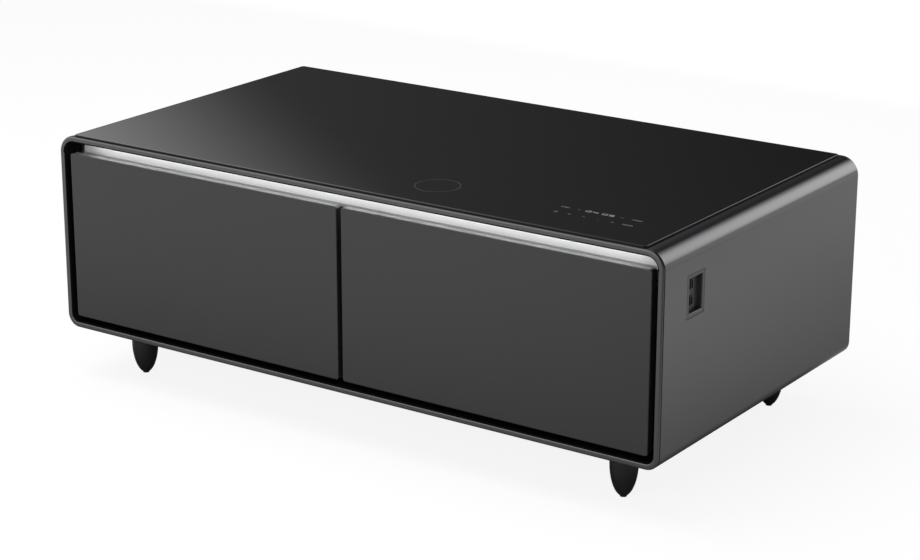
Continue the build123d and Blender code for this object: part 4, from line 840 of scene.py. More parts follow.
# Repeated shapes
class NodesTree:
    """A Geometry Nodes tree with named inputs."""

    def __init__(self, name: str) -> None:
        """Start a tree with a geometry input and output.

        Args:
            name: The tree's name.
        """
        self.tree = bpy.data.node_groups.new(name, "GeometryNodeTree")
        self.ids: dict[str, str] = {}
        self.tree.interface.new_socket(name="Geometry", in_out="OUTPUT", socket_type="NodeSocketGeometry")
        self.socket("Geometry", "Geometry")
        self.entry = self.tree.nodes.new("NodeGroupInput")

    def socket(self, name: str, kind: str) -> None:
        """Add a named input of a kind."""
        item = self.tree.interface.new_socket(name=name, in_out="INPUT", socket_type="NodeSocket" + kind)
        self.ids[name] = item.identifier

    def add(self, kind: str, settings: dict = {}, sockets: dict = {}) -> bpy.types.Node:
        """Add one node to the tree."""
        return add_node(self.tree, kind, settings, sockets)

    def close(self, geometry: bpy.types.NodeSocket) -> None:
        """End the tree with real geometry and its material.

        Args:
            geometry: The geometry to end with.
        """
        real = self.add("GeometryNodeRealizeInstances", {}, {"Geometry": geometry})
        sockets = {"Geometry": real.outputs[0], "Material": self.entry.outputs["Material"]}
        dressed = self.add("GeometryNodeSetMaterial", {}, sockets)
        leave = self.tree.nodes.new("NodeGroupOutput")
        self.tree.links.new(dressed.outputs[0], leave.inputs[0])

    def run(self, seed: Object, name: str, values: dict) -> Object:
        """Run the tree on an object and keep the result as a plain mesh.

        Args:
            seed: The object that holds the input shape.
            name: The new piece's name.
            values: Inputs by name.

        Returns:
            The new piece.
        """
        modifier = seed.modifiers.new(self.tree.name, "NODES")
        modifier.node_group = self.tree
        for key, value in values.items():
            modifier[self.ids[key]] = value
        bpy.context.view_layer.update()
        graph = bpy.context.evaluated_depsgraph_get()
        mesh = bpy.data.meshes.new_from_object(seed.evaluated_get(graph), depsgraph=graph)
        seed.modifiers.remove(modifier)
        bpy.data.objects.remove(seed)
        mesh.name = name
        return dressed_object(name, mesh)


class RowCopier(NodesTree):
    """Copies a shape along three nested rows of even steps."""

    def __init__(self) -> None:
        """Build the tree."""
        super().__init__("even_rows")
        for row in ("1", "2", "3"):
            self.socket("Count " + row, "Int")
            self.socket("Step " + row, "Vector")
        self.socket("Material", "Material")
        ports = self.entry.outputs
        shape = ports["Geometry"]
        for row in ("1", "2", "3"):
            sockets = {"Count": ports["Count " + row], "Offset": ports["Step " + row]}
            line = self.add("GeometryNodeMeshLine", {"mode": "OFFSET", "count_mode": "TOTAL"}, sockets)
            sockets = {"Points": line.outputs[0], "Instance": shape}
            shape = self.add("GeometryNodeInstanceOnPoints", {}, sockets).outputs[0]
        self.close(shape)

    def copies(self, seed: Object, name: str, rows: Sequence[tuple[int, Triple]], look: Looks) -> Object:
        """Copy the seed along its rows.

        Args:
            seed: The first shape, in its place.
            name: The new piece's name.
            rows: Up to three pairs of a count and a step in millimetres.
            look: The finish.

        Returns:
            The piece with all copies.
        """
        values: dict = {"Material": look.material}
        still = (1, (0.0, 0.0, 0.0))
        for i, (count, step) in enumerate([*rows, still, still][:3]):
            values[f"Count {i + 1}"] = count
            values[f"Step {i + 1}"] = [axis * MM for axis in step]
        return self.run(seed, name, values)


class PointCopier(NodesTree):
    """Copies one object's shape onto each point of a mesh."""

    def __init__(self) -> None:
        """Build the tree."""
        super().__init__("set_places")
        for name, kind in (("Shape", "Object"), ("Turn", "Float"), ("Seed", "Int"), ("Material", "Material")):
            self.socket(name, kind)
        ports = self.entry.outputs
        shape = self.add("GeometryNodeObjectInfo", {}, {"Object": ports["Shape"]})
        sockets = {"Max": ports["Turn"], "Seed": ports["Seed"]}
        spin = self.add("FunctionNodeRandomValue", {"data_type": "FLOAT"}, sockets)
        chosen = next(s for s in spin.outputs if s.enabled)
        turn = self.add("ShaderNodeCombineXYZ", {}, {"Y": chosen})
        sockets = {"Points": ports["Geometry"], "Instance": shape.outputs["Geometry"], "Rotation": turn.outputs[0]}
        self.close(self.add("GeometryNodeInstanceOnPoints", {}, sockets).outputs[0])

    def copies(self, shape: Object, name: str, places: Sequence[Triple], look: Looks, seed: int) -> Object:
        """Copy a shape onto places, each turned about Y by its own angle.

        Args:
            shape: The shape, about the origin.
            name: The new piece's name.
            places: The places in millimetres.
            look: The finish.
            seed: Seed of the angles.

        Returns:
            The piece with all copies.
        """
        mesh = bpy.data.meshes.new(name + "_places")
        mesh.from_pydata([Vector(p) * MM for p in places], [], [])
        values = {"Shape": shape, "Turn": math.pi, "Seed": seed, "Material": look.material}
        return self.run(linked(mesh.name, mesh), name, values)


@dataclass
class Screw:
    """Pan-head screw with a cross recess, its head towards +Y and its shank towards -Y."""

    head: float = 4.0
    rise: float = 2.4
    shank: float = 2.0
    recess: float = 1.9
    arm: float = 0.45
    deep: float = 1.3
    tip: Point = (1.2, 0.6)
    flat_share: float = 0.6
    floor_share: float = 0.55
    steps: int = 20
    dome: tuple[Point, ...] = ((1.0, 0.35), (0.93, 0.7), (0.8, 0.92))

    def build(self, length: float) -> Object:
        """Make one screw about the origin.

        Args:
            length: Length of the shank.

        Returns:
            The screw's object.
        """
        maker = MeshMaker("screw_shape")
        flat = self.head * self.flat_share
        profile = [(self.tip[0], -length), (self.shank, self.tip[1] - length), (self.shank, 0.0), (self.head, 0.0)]
        profile += [(self.head * wide, self.rise * high) for wide, high in self.dome] + [(flat, self.rise)]
        turned = [[(x, y, z) for x, z in circle((0.0, 0.0), radius, self.steps)] for radius, y in profile]
        maker.rings(turned, caps=(True, False))
        face = (circle((0.0, 0.0), flat, self.steps), self.cross(1.0))
        maker.fill([[(x, self.rise, z) for x, z in loop] for loop in face])
        walls = ((self.rise, 1.0), (self.rise - self.deep, self.floor_share))
        maker.rings([[(x, y, z) for x, z in self.cross(share)] for y, share in walls], caps=(False, True))
        return maker.finish(Looks.ZINC)

    def cross(self, share: float) -> list[Point]:
        """Outline of the recess at a share of its size.

        Args:
            share: The share.

        Returns:
            The outline's points.
        """
        long, wide = self.recess * share, self.arm * share
        out: list[Point] = []
        for c, s in ((1, 0), (0, 1), (-1, 0), (0, -1)):
            out += [(x * c - y * s, x * s + y * c) for x, y in ((long, -wide), (long, wide), (wide, wide))]
        return out

    def spread(self, points: PointCopier, name: str, length: float, places: Sequence[Triple], seed: int) -> Object:
        """Set screws at their places.

        Args:
            points: The copier of set places.
            name: The new piece's name.
            length: Length of each shank.
            places: The places of the heads' undersides.
            seed: Seed of the turns.

        Returns:
            The piece with all screws.
        """
        shape = self.build(length)
        screws = points.copies(shape, name, places, Looks.ZINC, seed)
        bpy.data.objects.remove(shape)
        return screws


# The cabinet
@dataclass
class Cabinet:
    """Steel wrap, trim frame and back panel."""

    width: float = 1300.0
    height: float = 376.5
    lift: float = 97.0
    corners: Point = (26.0, 34.0)
    front: float = -350.0
    back: float = 350.0
    wall: float = 1.5
    lip: float = 4.5
    rim: float = 12.0
    rim_round: float = 4.0
    # Insets where the rim's grey face ends, at the sides and bottom and, above rim_turn, on the top bar; past them,
    # and on the outer seam, the black is painted shade
    rim_grey: Point = (10.4, 8.3)
    rim_seam: float = 0.2
    rim_turn: float = 440.0
    rim_steps: int = 26
    clearance: float = 0.3
    lead: float = 1.5
    rim_bar_back: float = -328.0
    flange: float = -292.0
    fold_width: float = 14.0
    panel_back: float = 340.0
    panel_wall: float = 1.2
    outlet: tuple[float, float, float, float] = (-243.3, 376.5, 28.9, 37.7)
    vent_group: float = 300.0
    vent_pitch: Point = (74.0, 18.0)
    vent_count: tuple[int, int] = (3, 9)
    vent_size: Point = (62.0, 6.0)
    vent_overlap: float = 1.0
    hood: float = 4.0
    hood_wall: float = 0.9
    hood_ends: tuple[Point, ...] = ((0.0, 0.0), (0.55, 0.8), (0.9, 2.2), (1.0, 4.0))
    inlet: Point = (-520.0, 157.0)
    inlet_half: Point = (14.5, 10.7)
    inlet_cut: float = 4.5

    @property
    def middle(self) -> float:
        """Height of the body's middle."""
        return self.lift + self.height / 2

    def outline(self, steps: int = 22) -> RoundedOutline:
        """Outline of the body in X and Z, with stops at the outlet's window."""
        _, z, _, tall = self.outlet
        return RoundedOutline(self.width, self.height, self.corners, (0.0, self.middle), steps, (z - tall, z + tall))

    def build_shell(self) -> None:
        """Make the wrap with its rear fold and the outlet's window."""
        y, z, half, tall = self.outlet
        wall, fold = self.wall, self.wall + self.fold_width
        start = self.front + self.lip
        panel = self.panel_back - self.panel_wall
        corners = [
            (0, start), (0, start + self.lead), (0, y - half), (0, y + half), (0, self.back - self.lead),
            (0, self.back), (wall, self.back), (wall, panel),
            (fold, panel), (fold, panel - wall), (wall, panel - wall), (wall, y + half), (wall, y - half),
            (wall, start),
        ]
        radii = [0.3, 0, 0, 0, 0, 0.6, 0.6, 0, 0.5, 0.5, 0, 0, 0, 0]
        maker = MeshMaker("steel_wrap")
        maker.sweep(self.outline(), eased(corners, radii, 3), in_front)
        bmesh.ops.remove_doubles(maker.bm, verts=maker.bm.verts, dist=MERGE)
        window = Vector((self.width / 2, y, z)) * MM
        gone = [
            face for face in maker.bm.faces
            if (face.calc_center_median() - window).length < 2 * wall * MM and face.calc_area() > half * tall * MM * MM
        ]
        bmesh.ops.delete(maker.bm, geom=gone, context="FACES_ONLY")
        rim = [edge for edge in maker.bm.edges if edge.is_boundary]
        bmesh.ops.bridge_loops(maker.bm, edges=rim)
        settle(maker.finish(Looks.BODY), "body_black", "outer_shell")

    def build_rim(self) -> None:
        """Make the rounded trim frame with the spigot behind it."""
        inner, outline = self.wall + self.clearance, self.outline(self.rim_steps)
        start, face, back = self.front + self.lip, self.front, self.rim_bar_back
        corners = [(0, start), (0, face), (self.rim, face), (self.rim, back), (inner, back), (inner, start)]
        section = eased(corners, [0, self.rim_round, self.rim_round, 0, 0, 0], 8)

        def edge(span: int) -> int:
            """Give the lip's face its grey, and its outer seam, its inner rounding and every other side their black:
            painted shade on the seam and the rounding, the frame's own black elsewhere.

            Args:
                span: Number of the section's span.

            Returns:
                The material's number.
            """
            here, ahead = section[span], section[(span + 1) % len(section)]
            inset = (here[0] + ahead[0]) / 2
            return 0 if max(here[1], ahead[1]) < start + 0.1 and self.rim_seam < inset < self.rim_grey[0] else 1

        maker = MeshMaker("trim_frame")
        maker.sweep(outline, section, in_front, material=edge)
        across = len(outline.points(0.0))
        # Painted shade: on the top bar the black of the inner rounding starts at a smaller inset, for the shade under
        # the bar
        for index, face in enumerate(maker.bm.faces):
            if section[index // across][0] > self.rim_grey[1] and face.calc_center_median().z / MM > self.rim_turn:
                face.material_index = 1
        spigot = [(self.rim, back), (self.rim, self.flange), (inner, self.flange), (inner, back)]
        maker.sweep(outline, spigot, in_front, material=lambda span: 1, part=outline.open_top)
        settle(maker.finish(Looks.RIM, Looks.RIM_EDGE), "rim_grey", "front_trim_frame")

    def vent_places(self) -> list[Point]:
        """Middles of the louvres in X and Z, the first at the left and lowest.

        Returns:
            The middles.
        """
        (across, up), (step_x, step_z) = self.vent_count, self.vent_pitch
        return [
            (side * self.vent_group + (i - (across - 1) / 2) * step_x, self.middle + (k - (up - 1) / 2) * step_z)
            for side in (-1, 1) for i in range(across) for k in range(up)
        ]

    def build_back(self, rows: RowCopier) -> None:
        """Make the back panel's plate and its louvres.

        Args:
            rows: The copier of even rows.
        """
        shape = RoundedOutline(self.width, self.height, self.corners, (0.0, self.middle), 16)
        loops = [shape.points(self.wall + self.clearance)]
        w, t = self.vent_size[0] / 2 - self.vent_overlap, self.vent_size[1] / 2
        loops += [[(x - w, z - t), (x + w, z - t), (x + w, z + t), (x - w, z + t)] for x, z in self.vent_places()]
        (x, z), (w, t), cut = self.inlet, self.inlet_half, self.inlet_cut
        right = [(x + w, z - t), (x + w, z + t - cut), (x + w - cut, z + t)]
        loops.append(right + [(2 * x - u, v) for u, v in reversed(right)])
        maker = MeshMaker("back_plate")
        maker.plate(loops, self.panel_back - self.panel_wall, self.panel_back, in_front)
        settle(maker.finish(Looks.BODY), "body_black", "back_panel")
        steps = ((0.0, 0.0, self.vent_pitch[1]), (self.vent_pitch[0], 0.0, 0.0), (2 * self.vent_group, 0.0, 0.0))
        counts = (self.vent_count[1], self.vent_count[0], 2)
        hoods = rows.copies(self.louvre(), "back_louvres", list(zip(counts, steps)), Looks.BODY)
        settle(hoods, "body_black", "back_panel")

    def louvre(self) -> Object:
        """Make the first louvre, a pressed hood that is open below.

        Returns:
            The louvre's object.
        """
        first_x, first_z = self.vent_places()[0]
        half, high = self.vent_size[0] / 2, self.vent_size[1] / 2
        reaches = (self.hood, self.hood - self.hood_wall)
        outer, inner = (arc((0.0, high), reach, 90, 0, 6) + [(reach, -high)] for reach in reaches)
        section = outer + inner[::-1]

        def place(u: float, v: float, along: float) -> Triple:
            """Put the hood behind the panel, drawn in towards its two ends."""
            return (first_x + along, self.panel_back + max(u, 0.0), first_z + v)

        ends = [(back - half, share) for share, back in self.hood_ends]
        ends += [(-along, share) for along, share in reversed(ends)]
        maker = MeshMaker("louvre_shape")
        grid = [
            [place(u * share, v if v < high else high + (v - high) * share, along) for u, v in section]
            for along, share in ends
        ]
        maker.rings(grid, caps=(True, True))
        return maker.finish(Looks.BODY, sharp=50.0)


@dataclass
class TopGlass:
    """Glass plate, its printed ring and its touch marks."""

    width: float = 1228.0
    length: float = 690.0
    shift: float = -3.0
    corner: float = 6.0
    low: float = 473.5
    high: float = 477.5
    bevel: float = 0.6
    ring_centre: Point = (139.5, -246.0)
    ring_radius: float = 40.0
    ring_line: float = 0.7
    edge_print: float = 0.15
    rows: Point = (-231.8, -263.4)
    columns: tuple[float, ...] = (391.0, 418.0, 446.0, 473.5, 501.0, 530.0)
    digits: tuple[float, ...] = (432.0, 445.3, 463.7, 477.0)
    digit_size: Point = (8.6, 6.6)
    pills: Point = (9.0, 10.0)
    print_height: float = 0.03
    pill_end: float = 2.1
    bar_width: float = 1.3
    bar_gap: float = 0.9

    def build_plate(self) -> None:
        """Make the plate with its polished bevels."""
        outline = RoundedOutline(self.width, self.length, (self.corner, self.corner), (0.0, self.shift), 10)
        corners = [
            (3.0, self.low), (0.5, self.low), (0, self.low + 0.5),
            (0, self.high - self.bevel), (self.bevel, self.high), (4.0, self.high),
        ]
        section = eased(corners, [0, 0, 0.2, 0.3, 0.2, 0], 3, False)

        def ground(span: int) -> int:
            """Give the edge its ground finish, and the upper bevel and the face their polish."""
            return 1 if max(section[span][1], section[span + 1][1]) < self.high - self.bevel + self.edge_print else 0

        maker = MeshMaker("glass_plate")
        maker.sweep(outline, section, on_top, closed=False, caps=(True, True), material=ground)
        piece = maker.finish(Looks.GLASS, Looks.GLASS_EDGE, sharp=50.0)
        settle(piece, "black_glass", "top_glass")

    def _mark(self, maker: MeshMaker, loops: Sequence[Sequence[Point]]) -> None:
        """Add one printed mark on the glass."""
        maker.plate(loops, self.high, self.high + self.print_height, on_top)

    def build_ring(self) -> None:
        """Print the bare ring over the wireless charger."""
        maker = MeshMaker("charging_ring")
        radii = (self.ring_radius + side * self.ring_line / 2 for side in (1, -1))
        self._mark(maker, [circle(self.ring_centre, radius, 96) for radius in radii])
        settle(maker.finish(Looks.INK_FAINT), "black_glass")

    @staticmethod
    def stroke(start: Point, end: Point, width: float) -> list[Point]:
        """Thin quad over a line and half its width beyond both ends.

        Args:
            start: The line's first point.
            end: Its last point.
            width: Its width.

        Returns:
            The quad's corners.
        """
        run = (Vector(end) - Vector(start)).normalized() * width / 2
        side = Vector((-run.y, run.x))
        a, b = Vector(start) - run, Vector(end) + run
        return [tuple(a + side), tuple(a - side), tuple(b - side), tuple(b + side)]

    def pill(self, x: float, y: float, reach: float, half: float) -> list[Point]:
        """Outline of a bar with round ends, from its middle, half its length and half its width."""
        inner = reach - self.pill_end
        return arc((x + inner, y), half, -90, 90, 10) + arc((x - inner, y), half, 90, 270, 10)

    def digit(self, number: int, x: float, y: float) -> list[list[Point]]:
        """Seven-bar number lying on the glass.

        Args:
            number: The number, 0 to 9.
            x: Its left side.
            y: Its lower side.

        Returns:
            A quad for each lit bar.
        """
        lit = ("abcdef", "bc", "abged", "abgcd", "fgbc", "afgcd", "afgedc", "abc", "abcdefg", "abcdfg")[number]
        r, t = x + self.digit_size[0], y + self.digit_size[1]
        m = (y + t) / 2
        bars = {
            "a": ((x, t), (r, t)), "b": ((r, t), (r, m)), "c": ((r, m), (r, y)), "d": ((x, y), (r, y)),
            "e": ((x, m), (x, y)), "f": ((x, t), (x, m)), "g": ((x, m), (r, m)),
        }
        quads = []
        for bar in lit:
            a, b = (Vector(p) for p in bars[bar])
            short = (b - a).normalized() * self.bar_gap
            quads.append(self.stroke(tuple(a + short), tuple(b - short), self.bar_width))
        return quads

    def build_marks(self) -> None:
        """Print the row of touch symbols and the display's numbers."""
        bright, plain = MeshMaker("display_numbers"), MeshMaker("touch_symbols")
        (row, low_row), columns, ends = self.rows, self.columns, self.pills
        for number, x in zip((0, 4, 0, 5), self.digits):
            for quad in self.digit(number, x, row - self.digit_size[1] / 2):
                self._mark(bright, [quad])
        pills = [(columns[0], row, ends[0], (2.1, 1.2)), (columns[-1], row, ends[1], (2.1, 1.2))]
        for x, y, reach, halves in pills + [(columns[-1], low_row, ends[1], (2.2, 0.9))]:
            self._mark(plain, [self.pill(x, y, reach, half) for half in halves])
        self._mark(plain, [circle((columns[0], low_row), radius, 40) for radius in (3.8, 2.9)])
        # Bars: middle, half their length along X and along Y, width
        bars = [(x, row, reach - 4.5, 0.0, 0.7) for x, _, reach, _ in pills]
        bars += [(columns[0], low_row + 2.5, 0.0, 2.1, 0.9)]
        for x in (columns[1], columns[4]):
            bars += [(x, row, 2.6, 0.0, 1.1), (x, low_row, 2.8, 0.0, 1.2), (x, low_row, 0.0, 2.6, 0.9)]
        bars += [(columns[2], low_row, 2.2, 0.0, 1.2), (columns[3], low_row, 1.6, 0.0, 0.7)]
        for x, y, reach_x, reach_y, width in bars:
            self._mark(plain, [self.stroke((x - reach_x, y - reach_y), (x + reach_x, y + reach_y), width)])
        settle(bright.finish(Looks.INK_BRIGHT), "black_glass")
        settle(plain.finish(Looks.INK), "black_glass")


@dataclass
class Foot:
    """Turned bullet foot with a grooved collar."""

    height: float = 97.0
    radius: float = 25.0
    curve: float = 62.0
    collar: float = 8.0
    collar_profile: tuple[Point, ...] = (
        (0.15, 0.12), (1.1, 0.25), (1.2, 0.4), (1.2, 0.9), (1.0, 1.2), (0.5, 1.2), (0.0, 1.7), (0.0, 7.6), (0.4, 8.0)
    )
    pad: float = 2.0
    steps: int = 36
    reach: Point = (534.5, 263.0)

    def build(self, corner: str, x_side: int, y_side: int) -> None:
        """Turn one foot.

        Args:
            corner: Its corner's name.
            x_side: -1 for left, 1 for right.
            y_side: -1 for front, 1 for rear.
        """
        length = self.height - self.collar
        tip = math.asin((self.curve - self.pad) / self.curve)
        profile = [(0.0, self.pad)]
        for turn in (tip * (1 - i / self.steps) for i in range(self.steps + 1)):
            profile.append((self.radius * math.cos(turn), self.curve * (1 - math.sin(turn))))
        profile += [(self.radius - inset, length + rise) for inset, rise in self.collar_profile]
        profile.append((0.0, self.height))
        maker = MeshMaker(f"turned_foot_{corner}")
        maker.lathe(profile, (x_side * self.reach[0], y_side * self.reach[1]), 96)
        settle(maker.finish(Looks.FOOT, sharp=38.0), "foot_black", f"foot_{corner}")


@dataclass
class Drawer:
    """One drawer's front, grip, gasket, screws and slide balls."""

    name: str
    side: int
    width: float = 622.0
    bottom: float = 120.0
    top: float = 439.5
    face: float = -347.0
    back: float = -332.0
    core_back: float = -300.0
    wall: float = 1.2
    corner: float = 5.0
    bend: float = 1.6
    core_top: float = 405.5
    grip_wall: float = 1.5
    grip_lip: float = 6.0
    cell: Triple = (586.5, 252.5, 264.25)
    cell_corner: float = 12.0
    gasket_offset: float = 1.75
    gasket_width: float = 12.0
    sealing_face: float = -292.3
    shift: float = 315.8
    screw_reach: float = 240.55
    screw_seat: float = 2.5
    screw_heights: Point = (186.0, 323.0)
    rail_height: float = 183.0
    ball_radius: float = 1.5
    ball_merge: float = 0.000001
    ball_steps: tuple[int, float] = (17, 12.0)
    races: tuple[tuple[str, float, float, float], ...] = (
        ("outer", 9.0, 45.7 / 2 - 2.9 - 0.4, -89.0),
        ("inner", 6.6, 45.7 / 2 - 2.9 - 0.8 - 3.0 - 0.4, -281.0),
    )

    @property
    def middle(self) -> float:
        """The drawer's middle in X."""
        return self.side * self.shift

    @property
    def body(self) -> str:
        """The body that carries the drawer."""
        return f"drawer_{self.name}"

    def outline(self) -> RoundedOutline:
        """Outline of the front in X and Z.

        Returns:
            The outline.
        """
        tall = self.top - self.bottom
        centre = (self.middle, (self.top + self.bottom) / 2)
        return RoundedOutline(self.width, tall, (self.corner, self.corner), centre, 8)

    def build_front(self) -> None:
        """Fold the front from sheet, with returns at its sides and bottom."""
        inside, bend = self.face + self.wall, self.bend
        turned = arc((bend, self.face + bend), bend, 180, 270, 6)
        section = [(0.4, inside), (0, inside), *turned, (bend + 2.0, self.face)]
        maker = MeshMaker(f"steel_front_{self.name}")
        maker.sweep(self.outline(), section, in_front, closed=False, caps=(True, True))
        ring = [(0, inside), (0, self.back), (self.wall, self.back), (self.wall, inside)]
        maker.sweep(self.outline(), ring, in_front, part=self.outline().open_top)
        settle(maker.finish(Looks.FRONT), "front_black", f"drawer_{self.name}_front", body=self.body)

    def build_grip(self) -> None:
        """Extrude the finger profile along the front's top edge."""
        half = self.width / 2 - self.corner - 0.05
        low, back, wall = self.face + self.wall, self.back, self.grip_wall
        corners = [
            (low, self.top), (back, self.top), (back, self.core_top), (back - self.grip_lip, self.core_top),
            (back - self.grip_lip, self.core_top + wall), (back - wall, self.core_top + wall),
            (back - wall, self.top - wall), (low, self.top - wall),
        ]
        section = eased(corners, [0.2, 1.4, 0.3, 0.3, 0.3, 0.8, 0.6, 0], 5)
        maker = MeshMaker(f"finger_profile_{self.name}")
        maker.bar(section, self.middle - half, self.middle + half, from_side)
        settle(maker.finish(Looks.GRIP), "bright_aluminium", f"drawer_{self.name}_grip", body=self.body)

    def build_gasket(self) -> None:
        """Sweep the seal's foot and bellows round the core's groove."""
        width, tall, z = self.cell
        margin = self.gasket_offset + self.gasket_width
        corner = self.cell_corner + margin
        outline = RoundedOutline(width + 2 * margin, tall + 2 * margin, (corner, corner), (self.middle, z), 10)
        face, seal, w = self.core_back, self.sealing_face, self.gasket_width
        half = [
            (w / 2 - 2.4, face - 3.7), (w / 2 - 3.2, face - 3.0), (w / 2 - 1.6, face - 2.0), (w / 2 - 1.8, face - 0.2),
            (0.4, face + 0.1), (0.2, face + 1.5), (1.4, face + 2.6), (0.3, face + 3.8), (1.0, face + 5.4),
            (0.0, seal - 1.8), (0.3, seal),
        ]
        corners = half + [(w - inset, y) for inset, y in reversed(half)]
        maker = MeshMaker(f"bellows_seal_{self.name}")
        maker.sweep(outline, eased(corners, [0.25] * len(corners), 2), in_front)
        piece = maker.finish(Looks.GASKET, sharp=60.0)
        settle(piece, "gasket_rubber", f"drawer_{self.name}_gasket", body=self.body)

    def build_inside(self, points: PointCopier) -> None:
        """Ease the edges of the core and the bin, and set the bin's screws.

        Args:
            points: The copier of set places.
        """
        for part, name, look, edge, slot in (
            ("core", "insulated_core", Looks.PLASTIC, 0.6, "inner_plastic"),
            ("bin", "food_bin", Looks.BIN, 0.5, "bin_plastic"),
        ):
            node = f"drawer_{self.name}_{part}"
            settle(refined(node, f"{name}_{self.name}", look, edge), slot, node, body=self.body)
        seat = self.core_back + self.screw_seat
        places = [(self.middle + s * self.screw_reach, seat, z) for s in (-1, 1) for z in self.screw_heights]
        screws = Screw().spread(points, f"bin_screws_{self.name}", 14.0, places, 3 + self.side)
        settle(screws, "zinc_steel", f"drawer_{self.name}_screws", body=self.body)

    def build_balls(self, rows: RowCopier) -> None:
        """Fill the races of both slides with balls, which travel with the middle members.

        Args:
            rows: The copier of even rows.
        """
        (count, pitch), profile = self.ball_steps, arc((0.0, 0.0), self.ball_radius, -90, 90, 6)
        for kind, offset, half, start in self.races:
            reach, z = self.cell[0] / 2 - offset, self.rail_height - half
            maker = MeshMaker("ball_shape")
            for x in (self.middle - reach, self.middle + reach):
                maker.lathe([(max(r, 0.01), z + v) for r, v in profile], (x, start), 8)
            steps = [(count, (0.0, pitch, 0.0)), (2, (0.0, 0.0, 2 * half))]
            shape = maker.finish(Looks.BALL, merge=self.ball_merge)
            balls = rows.copies(shape, f"{kind}_balls_{self.name}", steps, Looks.BALL)
            settle(balls, "slide_steel", body=f"slide_{self.name}")


@dataclass
class SmallPieces:
    """Pieces that keep the frame's shape with eased edges: outlet, inlet, strip, lens and covers."""

    eased: tuple[tuple[str, str, Looks, float, str], ...] = (
        ("outlet_bezel", "outlet_frame", Looks.BEZEL, 0.35, "bezel_plastic"),
        ("outlet_module", "outlet_housing", Looks.PLASTIC, 0.25, "inner_plastic"),
        ("power_inlet", "inlet_housing", Looks.PLASTIC, 0.3, "inner_plastic"),
        ("header_cover", "top_rail_cover", Looks.PLASTIC, 0.5, "inner_plastic"),
        ("led_diffuser", "light_lens", Looks.LENS, 0.2, "lens_white"),
        ("face_frame", "sealing_frame", Looks.INNER, 0.5, "inner_black"),
        ("insulation_foam", "foam_filling", Looks.FOAM, 0.0, "foam"),
    )
    drawn_out: tuple[str, ...] = ("outlet_bezel", "outlet_module", "insulation_foam")
    outlet_reach: tuple[Triple, Triple] = ((600.0, -275.0, 345.0), (655.0, -214.0, 418.0))
    outlet_rear: Point = (-234.5, 2.4)
    outlet_drops: tuple[Point, Point] = ((359.5, 10.0), (381.5, 6.4))
    strip_reach: float = 637.7
    strip_margin: float = 8.0
    strip_joint: float = 0.3
    strip_lip: tuple[float, float, float, float] = (-306.2, -305.05, 427.0, 433.6)
    fold_reach: Point = (641.5, 179.75)
    fold_shares: tuple[float, ...] = (-0.8, -0.27, 0.27, 0.8)

    def build(self) -> None:
        """Make each eased piece."""
        for node, name, look, edge, slot in self.eased:
            piece = refined(node, name, look, edge)
            if node in self.drawn_out:
                self.draw_out(piece)
            settle(piece, slot, node)

    def draw_out(self, piece: Object) -> None:
        """Move the outlet's rear edge, lower port and lower edge to their places in the photograph.

        Args:
            piece: The outlet's frame or housing, or the foam round it.
        """
        low, high = (Vector(corner) * MM for corner in self.outlet_reach)
        for vert in piece.data.vertices:
            if any(not a < v < b for a, v, b in zip(low, vert.co, high)):
                continue
            if vert.co.y > self.outlet_rear[0] * MM:
                vert.co.y += self.outlet_rear[1] * MM
            drops = [drop for level, drop in self.outlet_drops if vert.co.z < level * MM]
            if drops:
                vert.co.z -= drops[0] * MM

    def build_reflector(self) -> None:
        """Make the bright strip, drawn in at its outer ends, and the lip along its lower edge."""
        strip = refined("light_reflector", "reflector_strip", Looks.BRIGHT, 0.2)
        for vert in strip.data.vertices:
            if abs(vert.co.x) > self.strip_reach * MM / 2:
                vert.co.x -= math.copysign(self.strip_margin * MM, vert.co.x)
        settle(strip, "bright_aluminium", "light_reflector")
        front, back, low, high = self.strip_lip
        section = eased([(front, low), (front, high), (back, high), (back, low)], [0.4, 0.4, 0, 0], 3)
        maker = MeshMaker("reflector_lip")
        for side in (-1, 1):
            ends = sorted((side * self.strip_joint, side * (self.strip_reach - self.strip_margin)))
            maker.bar(section, ends[0], ends[1], from_side)
        settle(maker.finish(Looks.LIP), "bright_aluminium")

    def build_back_screws(self, cabinet: Cabinet, points: PointCopier) -> None:
        """Set the back panel's screws.

        Args:
            cabinet: The cabinet that holds them.
            points: The copier of set places.
        """
        (x, z), middle = self.fold_reach, cabinet.middle
        spots = [(share * x, middle + side * z) for share in self.fold_shares for side in (-1, 1)]
        places = [(u, cabinet.panel_back, v) for u, v in spots + [(-x, middle), (x, middle)]]
        settle(Screw().spread(points, "panel_screws", 7.0, places, 11), "zinc_steel", "back_panel_screws")


@dataclass
class CarriedOver:
    """Finishes of the nodes that keep their own shape."""

    looks: dict[Looks, tuple[str, ...]] = field(default_factory=lambda: {
        Looks.ZINC: ("chassis_plate", "foot_studs", "bay_wall"),
        Looks.PAD: ("foot_pads", "compressor_mounts"),
        Looks.MILL: ("led_channel", "condenser_tubes", "condenser_fins", "evaporator_left", "evaporator_right"),
        Looks.PLASTIC: ("charger_housing", "touch_tray", "fan_shroud", "fan_frame", "fan_rotor"),
        Looks.COPPER: ("charger_coil", "filter_drier", "refrigerant_pipes"),
        Looks.BOARD: ("touch_board", "control_board"),
        Looks.INNER: ("compressor",),
        Looks.LINER: ("drain_pan", "liner_left", "liner_right"),
        Looks.SLIDE: (
            "slide_outer_rails", "slide_left_inner_rails", "slide_right_inner_rails",
            "slide_left_middle_rails", "slide_right_middle_rails",
        ),
    })

    def dress(self) -> None:
        """Give each node its finish."""
        for look, nodes in self.looks.items():
            for node in nodes:
                mesh = frame["nodes"][node].data
                mesh.materials.clear()
                mesh.materials.append(look.material)
                LOG.info("%s keeps its shape", node)


